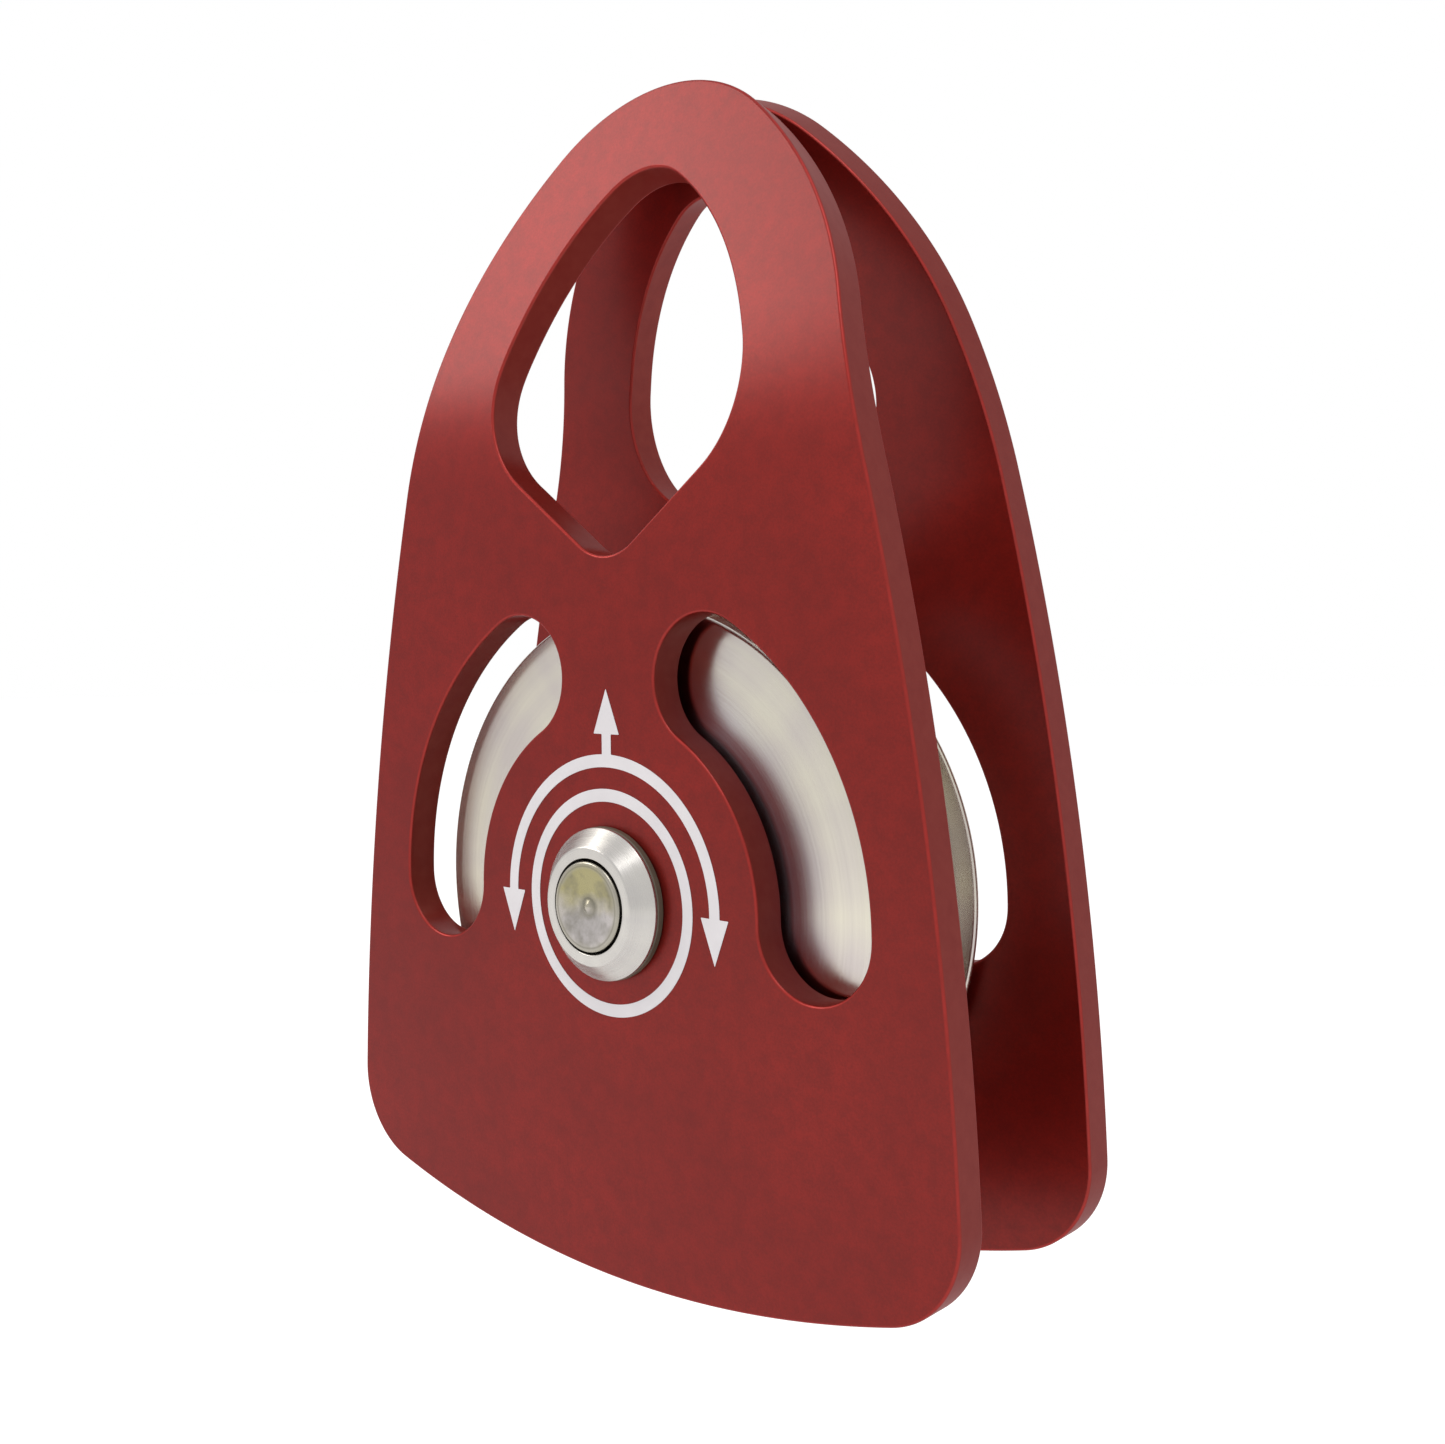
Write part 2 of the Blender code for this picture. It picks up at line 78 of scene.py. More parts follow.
def axle_place() -> tuple[float, float]:
    """x and z of the axle, read from the frame."""
    low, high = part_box("axle_pin")
    return (low[0] + high[0]) / 2, (low[2] + high[2]) / 2


AXLE = axle_place()


class End(Enum):
    """The two ends of the axle, with the way each one faces along Y."""

    FRONT = -1
    REAR = 1

    @property
    def prefix(self) -> str:
        """First word of the names of this end's nodes."""
        return self.name.lower()


# ------------------------------------------------------------------------------ surfaces
@dataclass
class Surface:
    """A mesh as whole arrays.

    Attributes:
        points: one row of x, y, z for each vertex.
        normals: the true normal of the surface at each vertex.
        quads: four vertex numbers for each four-sided face.
        triangles: three vertex numbers for each three-sided face.
        marks: a number from 0 to 1 at each vertex under each name, which a finish can read.
    """

    points: np.ndarray
    normals: np.ndarray
    quads: np.ndarray
    triangles: np.ndarray
    marks: dict[str, np.ndarray] = field(default_factory=dict)

    def flipped(self) -> "Surface":
        """The same surface with its faces turned round, for a mirrored copy."""
        return Surface(self.points, self.normals, self.quads[:, ::-1],
                       self.triangles[:, ::-1], self.marks)

    def mesh(self, name: str) -> bpy.types.Mesh:
        """Put the arrays into a smooth-shaded Blender mesh.

        Args:
            name: the mesh's name.

        Returns:
            The mesh, with the surface's own normals.
        """
        mesh = bpy.data.meshes.new(name)
        corners = np.concatenate((self.quads.ravel(), self.triangles.ravel()))
        sizes = np.concatenate((np.full(len(self.quads), 4), np.full(len(self.triangles), 3)))
        starts = np.concatenate(([0], np.cumsum(sizes)[:-1]))
        mesh.vertices.add(len(self.points))
        mesh.vertices.foreach_set("co", self.points.astype(np.float32).ravel())
        mesh.loops.add(len(corners))
        mesh.loops.foreach_set("vertex_index", corners.astype(np.int32))
        mesh.polygons.add(len(sizes))
        mesh.polygons.foreach_set("loop_start", starts.astype(np.int32))
        mesh.polygons.foreach_set("loop_total", sizes.astype(np.int32))
        mesh.update(calc_edges=True)
        mesh.shade_smooth()
        mesh.normals_split_custom_set_from_vertices(self.normals.tolist())
        for mark, values in self.marks.items():
            layer = mesh.attributes.new(mark, "FLOAT", "POINT")
            layer.data.foreach_set("value", values.astype(np.float32))
        return mesh


def arc(centre: Sequence[float], radius: float, start: float, end: float,
        count: int) -> np.ndarray:
    """Points at equal angles on a circle: centre plus radius times (cosine, sine)."""
    turn = np.linspace(start, end, count)
    return np.column_stack((centre[0] + radius * np.cos(turn), centre[1] + radius * np.sin(turn)))


def heading(turn: float) -> tuple[float, float]:
    """Unit direction in which a circle runs at a turn, counter-clockwise."""
    return -math.sin(turn), math.cos(turn)


def blend(start: np.ndarray, start_way: Sequence[float], end: np.ndarray,
          end_way: Sequence[float], count: int) -> np.ndarray:
    """Cubic curve that leaves and arrives along given directions.

    The curve is the sum of its four control points, each times its share of (1 - t + t) cubed.
    The inner two stand off the ends by a third of the chord or so.

    Args:
        start: first point.
        start_way: unit direction in which the curve leaves.
        end: last point.
        end_way: unit direction in which the curve arrives.
        count: how many points to return.

    Returns:
        The points, both ends included.
    """
    reach = 0.34 * math.dist(start, end)
    first = np.add(start, np.multiply(reach, start_way))
    last = np.subtract(end, np.multiply(reach, end_way))
    t = np.linspace(0.0, 1.0, count)[:, None]
    return ((1 - t) ** 3 * start + 3 * t * (1 - t) ** 2 * first
            + 3 * t * t * (1 - t) * last + t ** 3 * end)


def evenly(loop: np.ndarray, spacing: float) -> np.ndarray:
    """Set points at equal distances along a closed loop, starting from its first point."""
    closed = np.vstack((loop, loop[:1]))
    steps = np.linalg.norm(np.diff(closed, axis=0), axis=1)
    along = np.concatenate(([0.0], np.cumsum(steps)))
    count = max(12, round(along[-1] / spacing))
    places = np.arange(count) * along[-1] / count
    return np.column_stack([np.interp(places, along, closed[:, axis]) for axis in (0, 1)])


def mirrored(right_half: np.ndarray) -> np.ndarray:
    """Close a right-hand half outline, given bottom to top, with its mirror image."""
    return np.vstack((right_half, right_half[-2:0:-1] * (-1, 1)))


def inward_normals(loop: np.ndarray) -> np.ndarray:
    """Unit normals to the left of a closed loop: its chord from neighbour to neighbour, turned."""
    chord = np.roll(loop, -1, axis=0) - np.roll(loop, 1, axis=0)
    chord /= np.linalg.norm(chord, axis=1)[:, None]
    return np.column_stack((-chord[:, 1], chord[:, 0]))


def inside(points: np.ndarray, loop: np.ndarray) -> np.ndarray:
    """Whether each point is in a closed loop: a ray to its right crosses the loop an odd number
    of times."""
    x, z = points[:, :1], points[:, 1:]
    ax, az = loop[:, 0], loop[:, 1]
    bx, bz = np.roll(ax, -1), np.roll(az, -1)
    spans = (az > z) != (bz > z)
    slope = (bx - ax) / np.where(bz == az, 1.0, bz - az)
    return (spans & (x < ax + (z - az) * slope)).sum(axis=1) % 2 == 1


def in_face(points: np.ndarray, loops: Sequence[np.ndarray]) -> np.ndarray:
    """Whether each point is inside the first loop and outside all the others."""
    held = inside(points, loops[0])
    for hole in loops[1:]:
        held &= ~inside(points, hole)
    return held


def rounded(corners: Sequence[tuple[float, float, float]]) -> np.ndarray:
    """Round the corners of a closed profile.

    Each corner becomes an arc that touches the two straight lines that meet there: its centre
    lies on their bisector, a radius over the sine of the half angle from the corner.

    Args:
        corners: rows of radius from the axle, distance along it, and corner radius.

    Returns:
        The rounded profile's points, with seven on each arc.
    """
    share = np.linspace(0.0, 1.0, 7)[:, None]
    places = np.array(corners)[:, :2]
    points = []
    for i, (_, _, radius) in enumerate(corners):
        if radius <= 0.0:
            points.append(places[i:i + 1])
            continue
        before = places[i - 1] - places[i]
        after = places[(i + 1) % len(places)] - places[i]
        before /= np.linalg.norm(before)
        after /= np.linalg.norm(after)
        half = math.acos(max(-1.0, min(1.0, float(before @ after)))) / 2
        bisector = (before + after) / np.linalg.norm(before + after)
        centre = places[i] + bisector * radius / math.sin(half)
        touch_in = places[i] + before * radius / math.tan(half) - centre
        touch_out = places[i] + after * radius / math.tan(half) - centre
        sweep = math.pi - 2 * half
        points.append(centre + (np.sin((1 - share) * sweep) * touch_in
                                + np.sin(share * sweep) * touch_out) / math.sin(sweep))
    return np.vstack(points)


def turned(profile: np.ndarray, steps: int) -> Surface:
    """Spin a profile about the axle.

    A point of the surface is the axle's place plus radius times (cosine, 0, sine) of the turn,
    plus the distance along Y.  A radius of nought at both ends closes the shape in two poles.

    Args:
        profile: rows of radius and distance along the axle, closed unless it ends on the axle.
        steps: number of equal turns.

    Returns:
        The closed surface, facing outwards.
    """
    poles = profile[0, 0] == 0.0
    following = np.roll(profile, -1, axis=0)
    area = (profile[:, 0] * following[:, 1] - following[:, 0] * profile[:, 1]).sum()
    sign = math.copysign(1.0, area)
    chord = following - np.roll(profile, 1, axis=0)
    tilt = sign * np.column_stack((chord[:, 1], -chord[:, 0]))
    tilt /= np.maximum(np.linalg.norm(tilt, axis=1), 1e-12)[:, None]
    if poles:
        tilt[[0, -1]] = [(0.0, math.copysign(1.0, along)) for along in profile[[0, -1], 1]]
    turn = np.arange(steps) * FULL_TURN / steps
    cosine, sine, level = np.cos(turn), np.sin(turn), 0.0 * turn
    radius = profile[:, :1]
    points = np.stack((AXLE[0] + radius * cosine, profile[:, 1:] + level,
                       AXLE[1] + radius * sine), axis=-1)
    normals = np.stack((tilt[:, :1] * cosine, tilt[:, 1:] + level, tilt[:, :1] * sine), axis=-1)

    number = np.arange(len(profile) * steps).reshape(len(profile), steps)
    rows = number if poles else np.vstack((number, number[:1]))
    ahead = np.roll(rows, -1, axis=1)
    quads = np.stack((rows[:-1], ahead[:-1], ahead[1:], rows[1:]), axis=-1)
    triangles = np.empty((0, 3), dtype=int)
    keep = np.ones(number.shape, dtype=bool)
    if poles:
        first, last = np.full(steps, number[0, 0]), np.full(steps, number[-1, 0])
        triangles = np.vstack((np.column_stack((first, ahead[1], number[1])),
                               np.column_stack((last, number[-2], ahead[-2]))))
        quads = quads[1:-1]
        keep[[0, -1], 1:] = False
    keep = keep.ravel()
    order = np.cumsum(keep) - 1
    surface = Surface(points.reshape(-1, 3)[keep], normals.reshape(-1, 3)[keep],
                      order[quads.reshape(-1, 4)], order[triangles])
    return surface.flipped() if sign > 0 else surface


@dataclass(frozen=True)
class Sheet:
    """A flat sheet with rounded edges, cut to an outline with holes.

    Attributes:
        thickness: from face to face.
        edge_radius: radius of the rounded edges.
        spacing: distance between points along an outline.
        lattice: distance between points inside a face.
        edge_steps: straight pieces in each rounded edge.
    """

    thickness: float
    edge_radius: float
    spacing: float
    lattice: float
    edge_steps: int = 5

    def surface(self, outline: np.ndarray, holes: Sequence[np.ndarray] = ()) -> Surface:
        """Build the sheet in its own flat frame: x across, y through the sheet, z up.

        An edge is a profile carried along a loop: the place is the loop's point plus a distance
        inwards along its normal, and the profile is a quarter circle, the wall, and a quarter
        circle.  Each face is filled by a Delaunay net of the loops and a lattice of points.  The
        marks are "cut", 1 on the wall, and "rim", 1 in the middle of each quarter circle.

        Args:
            outline: outer loop, counter-clockwise seen from the front.
            holes: loops of the holes, counter-clockwise too.

        Returns:
            The closed sheet, with its front face towards -Y.
        """
        loops = [evenly(outline, self.spacing)]
        loops += [evenly(hole, self.spacing)[::-1] for hole in holes]
        normals = [inward_normals(loop) for loop in loops]
        rims = np.vstack([loop + n * self.edge_radius for loop, n in zip(loops, normals)])
        face, triangles = self._face(rims, [len(loop) for loop in loops])
        count, half = len(face), self.thickness / 2

        quarter = np.linspace(0.0, math.pi / 2, self.edge_steps + 1)
        inset = self.edge_radius * (1 - np.sin(quarter))
        depth = self.edge_radius * (1 - np.cos(quarter)) - half
        inset = np.concatenate((inset, inset[::-1]))[1:-1]
        depth = np.concatenate((depth, -depth[::-1]))[1:-1]
        lean = np.concatenate((quarter, math.pi - quarter[::-1]))[1:-1]

        loop, normal = np.vstack(loops), np.vstack(normals)
        band = loop[None] + normal[None] * inset[:, None, None]
        band_points = np.stack((band[..., 0], depth[:, None] + 0 * band[..., 0], band[..., 1]),
                               axis=-1)
        sine, cosine = np.sin(lean)[:, None], np.cos(lean)[:, None]
        band_normals = np.stack((-normal[:, 0] * sine, -cosine + 0 * normal[:, 0],
                                 -normal[:, 1] * sine), axis=-1)
        flat = np.column_stack((face[:, 0], np.full(count, -half), face[:, 1]))
        points = np.vstack((flat, flat * (1, -1, 1), band_points.reshape(-1, 3)))
        front = np.tile((0.0, -1.0, 0.0), (count, 1))
        all_normals = np.vstack((front, -front, band_normals.reshape(-1, 3)))
        marks = {"cut": np.clip(np.sin(lean) * 1.6 - 0.6, 0.0, 1.0),
                 "rim": np.abs(np.sin(2 * lean))}
        marks = {name: np.concatenate((np.zeros(2 * count), np.repeat(values, len(loop))))
                 for name, values in marks.items()}

        middle = 2 * count + np.arange(len(lean) * len(loop)).reshape(len(lean), len(loop))
        rows = np.vstack((np.arange(len(loop)), middle, count + np.arange(len(loop))))
        following = np.concatenate([
            np.roll(np.arange(len(part)), -1) + sum(len(other) for other in loops[:i])
            for i, part in enumerate(loops)])
        here, there = rows[:-1], rows[1:]
        quads = np.stack((here, there, there[:, following], here[:, following]), axis=-1)
        both = np.vstack((triangles, triangles[:, ::-1] + count))
        return Surface(points, all_normals, quads.reshape(-1, 4), both, marks)

    def _face(self, rims: np.ndarray, counts: Sequence[int]) -> tuple[np.ndarray, np.ndarray]:
        """Net of triangles between the rims of a face.

        Args:
            rims: points of all the rims, the outer one first.
            counts: number of points in each rim.

        Returns:
            The points, rims first, and the triangles, counter-clockwise.
        """
        ends = np.cumsum(counts)
        loops = np.split(rims, ends[:-1])
        low, high = rims.min(axis=0), rims.max(axis=0)
        rows = np.arange(low[1], high[1], self.lattice * math.sqrt(0.75))
        columns = np.arange(low[0], high[0], self.lattice)
        x = columns[None] + np.where(np.arange(len(rows)) % 2, self.lattice / 2, 0.0)[:, None]
        grid = np.column_stack((x.ravel(), np.repeat(rows, len(columns))))
        grid = grid[in_face(grid, loops)]
        nearest = np.min([((grid - rim) ** 2).sum(axis=1) for rim in rims], axis=0)
        clearance = 0.45 * self.lattice
        points = np.vstack((rims, grid[nearest > clearance ** 2]))
        edges = []
        for loop_end, count in zip(ends, counts):
            number = np.arange(loop_end - count, loop_end)
            edges += np.column_stack((number, np.roll(number, -1))).tolist()
        scaled = (points * (1.0 / self.lattice)).tolist()
        _, _, faces, sources, *_ = delaunay_2d_cdt([Vector(p) for p in scaled], edges, [], 0, 1e-6)
        triangles = np.array([source[0] for source in sources])[np.array(faces)]
        corners = points[triangles]
        solid = in_face(corners.mean(axis=1), loops)
        triangles, corners = triangles[solid], corners[solid]
        one, two = corners[:, 1] - corners[:, 0], corners[:, 2] - corners[:, 0]
        clockwise = one[:, 0] * two[:, 1] - one[:, 1] * two[:, 0] < 0
        triangles[clockwise] = triangles[clockwise][:, ::-1]
        return points, triangles


# ------------------------------------------------------------------------------ finishes
Triple = tuple[float, float, float]


class Nodes:
    """Adds nodes to one tree and joins them."""

    def __init__(self, tree: bpy.types.NodeTree) -> None:
        """Take the tree, with the nodes that Blender put there."""
        self.tree = tree

    def node(self, kind: str, inputs: dict[str | int, object] | None = None,
             **settings: object) -> bpy.types.Node:
        """Add a node.

        Args:
            kind: Blender's name for the node's type.
            inputs: value or source socket for each named or numbered input.
            **settings: properties of the node.

        Returns:
            The new node.
        """
        node = self.tree.nodes.new(kind)
        for name, value in settings.items():
            setattr(node, name, value)
        for name, value in (inputs or {}).items():
            self.set(node, name, value)
        return node

    def set(self, node: bpy.types.Node, name: str | int, value: object) -> None:
        """Join an input to the socket given as its value, or give it a number or a colour."""
        socket = node.inputs[name]
        if isinstance(value, bpy.types.NodeSocket):
            self.tree.links.new(value, socket)
        else:
            socket.default_value = (*value, 1.0) if isinstance(value, tuple) else value

    def math(self, operation: str, first: object, second: object = 0.0,
             third: object = 0.0) -> bpy.types.NodeSocket:
        """The result of a Math node."""
        node = self.node("ShaderNodeMath", {0: first, 1: second, 2: third}, operation=operation)
        return node.outputs[0]

    def ramp(self, value: object, low: float, high: float, from_low: float = 0.0,
             from_high: float = 1.0) -> bpy.types.NodeSocket:
        """Carry a value from one range to another in a straight line, held at the ends."""
        node = self.node("ShaderNodeMapRange",
                         {"Value": value, "From Min": from_low, "From Max": from_high,
                          "To Min": low, "To Max": high})
        return node.outputs["Result"]

    def background_share(self) -> bpy.types.NodeSocket:
        """1 for rays from the camera and for mirrored or refracted ones, otherwise 0."""
        ray = self.node("ShaderNodeLightPath").outputs
        seen = self.math("MAXIMUM", ray["Is Camera Ray"], ray["Is Glossy Ray"])
        return self.math("MAXIMUM", seen, ray["Is Transmission Ray"])


class Shade(Nodes):
    """The nodes of one material with one Principled shader."""

    def __init__(self, name: str) -> None:
        """Start the material."""
        self.material = bpy.data.materials.new(name)
        self.material.use_nodes = True
        super().__init__(self.material.node_tree)
        self.shader = self.tree.nodes["Principled BSDF"]

    def principled(self, **inputs: object) -> bpy.types.Material:
        """Set or join the shader's inputs, with _ for a space, and return the material."""
        for name, value in inputs.items():
            self.set(self.shader, name.replace("_", " "), value)
        return self.material

    @cached_property
    def place(self) -> bpy.types.NodeSocket:
        """The surface point's own place in the part's frame."""
        return self.node("ShaderNodeTexCoord").outputs["Object"]

    def from_axle(self) -> tuple[bpy.types.NodeSocket, ...]:
        """x and z counted from the axle, the distance from it, and y along it."""
        parts = self.node("ShaderNodeSeparateXYZ", {0: self.place}).outputs
        x = self.math("SUBTRACT", parts[0], AXLE[0])
        z = self.math("SUBTRACT", parts[2], AXLE[1])
        square = self.math("MULTIPLY_ADD", x, x, self.math("MULTIPLY", z, z))
        return x, z, self.math("SQRT", square), parts[1]

    def vector(self, x: object, y: object) -> bpy.types.NodeSocket:
        """A vector of two values and nought."""
        return self.node("ShaderNodeCombineXYZ", {0: x, 1: y}).outputs[0]

    def mark(self, name: str) -> bpy.types.NodeSocket:
        """One of the surface's marks, from 0 to 1."""
        return self.node("ShaderNodeAttribute", attribute_name=name).outputs["Fac"]

    def noise(self, scale: float, detail: float = 2.0, roughness: float = 0.5,
              vector: bpy.types.NodeSocket | None = None) -> bpy.types.NodeSocket:
        """Soft noise from 0 to 1 at a vector, or else at the point's own place.

        Args:
            scale: how many features there are to a metre.
            detail: how many finer noises lie on it.
            roughness: how strong they are.
            vector: the place to read it at.

        Returns:
            The socket that holds the noise.
        """
        return self.node("ShaderNodeTexNoise", {
            "Vector": self.place if vector is None else vector, "Scale": scale,
            "Detail": detail, "Roughness": roughness}).outputs[0]

    def mix(self, share: object, first: object, second: object) -> bpy.types.NodeSocket:
        """Mix two colours; a share of nought gives the first."""
        return self.node("ShaderNodeMix", {0: share, 6: first, 7: second},
                         data_type="RGBA").outputs[2]

    def drift(self, noise: object, first: object, second: object) -> bpy.types.NodeSocket:
        """Go from one colour to another over the middle of a noise's range."""
        return self.mix(self.ramp(noise, 0.0, 1.0, 0.35, 0.65), first, second)

    def around(self, noise: object, middle: float, spread: float) -> bpy.types.NodeSocket:
        """Let a noise move a value to either side of its middle."""
        return self.ramp(noise, middle - spread, middle + spread, 0.3, 0.7)

    def bump(self, height: bpy.types.NodeSocket, distance: float,
             strength: float = 1.0) -> bpy.types.NodeSocket:
        """Normal of a surface raised by height times distance."""
        return self.node("ShaderNodeBump", {"Height": height, "Distance": distance,
                                            "Strength": strength}).outputs["Normal"]


@dataclass(frozen=True)
class Finish:
    """What every finish has.

    Attributes:
        name: the material's name.
        colour: its main colour.
        roughness: its mean roughness.
    """

    name: str
    colour: Triple
    roughness: float

    def material(self) -> bpy.types.Material:
        """Build the finish's material."""
        raise NotImplementedError


@dataclass(frozen=True)
class Anodised(Finish):
    """Dyed oxide over blasted aluminium: coloured metal under a thin clear skin.

    Attributes:
        deep: the darker tone it drifts to.
        edge: the dye's colour on a cut edge, where it looks browner.
        pit: the tone in the pits of the blasted surface.
        worn: the purer tone along a rounded edge, which is rubbed smooth;
        it is also a painted highlight for the glints along the edges.
        edge_roughness: of a cut edge.
        rubbing: how much smoother a rubbed edge is.
        drift: patches of the darker tone per metre.
        mottle: spots of wear and of a cut edge's tone per metre.
        grain: features of the blasted surface per metre.
        grain_depth: height of that surface.
    """

    deep: Triple
    edge: Triple
    pit: Triple
    worn: Triple
    edge_roughness: float
    rubbing: float = 0.16
    drift: float = 60.0
    mottle: float = 700.0
    grain: float = 5200.0
    grain_depth: float = 0.0000016

    def material(self) -> bpy.types.Material:
        """Build the anodised finish from the plate's marks, its grain and its mottle."""
        shade = Shade(self.name)
        cut, rim = shade.mark("cut"), shade.mark("rim")
        mottle = shade.noise(self.mottle, 3.0, 0.6)
        speck = shade.noise(self.grain, 2.0, 0.6)
        tone = shade.drift(shade.noise(self.drift, 4.0), self.colour, self.deep)
        pitted = shade.ramp(shade.math("ADD", speck, mottle), 0.0, 0.6, 0.75, 1.25)
        face = shade.mix(pitted, tone, self.pit)
        edge = shade.mix(shade.ramp(mottle, 0.0, 0.5, 0.3, 0.7), self.edge, self.deep)
        # Painted highlight: rubbed is the share of the brighter red along the rounded edges, which
        # stands in for their glints; it also makes them smoother.
        rubbed = shade.math("MULTIPLY", rim, shade.ramp(mottle, 0.45, 0.95, 0.35, 0.65))
        rough_face = shade.around(speck, self.roughness, 0.03)
        rough_edge = shade.around(mottle, self.edge_roughness, 0.05)
        gap = shade.math("SUBTRACT", rough_edge, rough_face)
        rough = shade.math("MULTIPLY_ADD", gap, cut, rough_face)
        return shade.principled(
            Base_Color=shade.mix(rubbed, shade.mix(cut, face, edge), self.worn),
            Metallic=0.88,
            Roughness=shade.math("MULTIPLY_ADD", rubbed, -self.rubbing, rough),
            Normal=shade.bump(speck, self.grain_depth, 0.6),
            Specular_Tint=(0.50, 0.06, 0.05),
            Coat_Weight=0.31,
            Coat_Roughness=0.30,
            Coat_IOR=1.6)


@dataclass(frozen=True)
class TurnedMetal(Finish):
    """Metal turned on a lathe: fine rings round the axle, which stretch highlights across them.

    Attributes:
        stain: a second colour that it drifts to, in stained patches and in painted sheen rays.
        stain_and_sheen_amount: the most of it that shows.
        anisotropy: how much rougher it is across the rings than along them.
        ring_pitch: rings per metre.
        ring_depth: height of the rings.
        cloud: stained patches per metre.
        rays: how many rays of painted sheen there are to a turn, in noise on the unit circle.
        film: colour of a painted reflection on one side of the flat faces, nearer the
            middle, a violet tint for the plate's shaded inside mirrored there.
        film_amount: the most of it that shows.
        film_turn: the way from the axle to the painted reflection, counted from +X.
        film_side: how far out that way it starts and is full.
        film_edge: the radii between which it fades.
        film_face: the distances along the axle between which it begins, clear of
            the groove.
    """

    stain: Triple
    stain_and_sheen_amount: float
    anisotropy: float
    ring_pitch: float
    ring_depth: float
    cloud: float = 100.0
    rays: float = 3.2
    film: Triple = (0.5, 0.5, 0.5)
    film_amount: float = 0.0
    film_turn: float = math.radians(25.0)
    film_side: tuple[float, float] = (0.006, 0.014)
    film_edge: tuple[float, float] = (0.0172, 0.0205)
    film_face: tuple[float, float] = (0.0066, 0.0069)

    def material(self) -> bpy.types.Material:
        """Build the turned finish.

        Noise of (radius, distance along the axle) makes rings, and noise of the direction from
        the axle, (x, z) over the radius, makes rays of painted sheen: darker and lighter radial
        streaks that stand in for the reflection wedges of turned metal.
        """
        shade = Shade(self.name)
        x, z, radius, along = shade.from_axle()
        ring_place = shade.vector(radius, along)
        rings = shade.noise(self.ring_pitch, 3.0, 0.65, ring_place)
        bands = shade.noise(self.ring_pitch / 9.0, vector=ring_place)
        direction = shade.vector(shade.math("DIVIDE", x, radius), shade.math("DIVIDE", z, radius))
        # Painted sheen: darker and lighter radial streaks that stand in for the reflection wedges
        # of turned metal.
        rays = shade.noise(self.rays, vector=direction)
        cloud = shade.math("MULTIPLY", shade.noise(self.cloud, 3.0), 0.25)
        # stained mixes real stain patches and ring tones with the painted sheen rays.
        stained = shade.math("MULTIPLY_ADD", rays, 0.45,
                             shade.math("MULTIPLY_ADD", bands, 0.3, cloud))
        tone = shade.mix(shade.ramp(stained, 0.0, self.stain_and_sheen_amount, 0.40, 0.60),
                         self.colour, self.stain)
        # Painted reflection: a violet tint on the faces towards +X, nearer the middle, for the
        # plate's shaded inside mirrored there.
        towards = shade.math("MULTIPLY_ADD", x, math.cos(self.film_turn),
                             shade.math("MULTIPLY", z, math.sin(self.film_turn)))
        painted_reflection_share = shade.math("MULTIPLY", shade.ramp(towards, 0.0, self.film_amount, *self.film_side),
                            shade.ramp(radius, 1.0, 0.1, *self.film_edge))
        on_face = shade.ramp(shade.math("ABSOLUTE", along), 0.0, 1.0, *self.film_face)
        rough = shade.math("MULTIPLY_ADD", bands, 0.6, rings)
        tangent = shade.node("ShaderNodeTangent", direction_type="RADIAL", axis="Y")
        return shade.principled(
            Base_Color=shade.mix(shade.math("MULTIPLY", painted_reflection_share, on_face), tone, self.film),
            Metallic=1.0,
            Roughness=shade.ramp(rough, self.roughness * 0.8, self.roughness * 1.25, 0.55, 1.05),
            Normal=shade.bump(rings, self.ring_depth),
            Anisotropic=self.anisotropy,
            Anisotropic_Rotation=0.25,
            Tangent=tangent.outputs[0])


@dataclass(frozen=True)
class MottledMetal(Finish):
    """Plain steel or bronze with a drifting, slightly stained surface.

    Attributes:
        stain: the colour of its patches.
        scale: patches per metre.
        depth: height of the fine surface.
    """

    stain: Triple
    scale: float
    depth: float = 0.000002

    def material(self) -> bpy.types.Material:
        """Build the mottled finish."""
        shade = Shade(self.name)
        patches = shade.noise(self.scale, 4.0, 0.6)
        return shade.principled(
            Base_Color=shade.drift(patches, self.colour, self.stain),
            Metallic=1.0,
            Roughness=shade.around(patches, self.roughness, 0.06),
            Normal=shade.bump(shade.noise(self.scale * 6.0), self.depth))


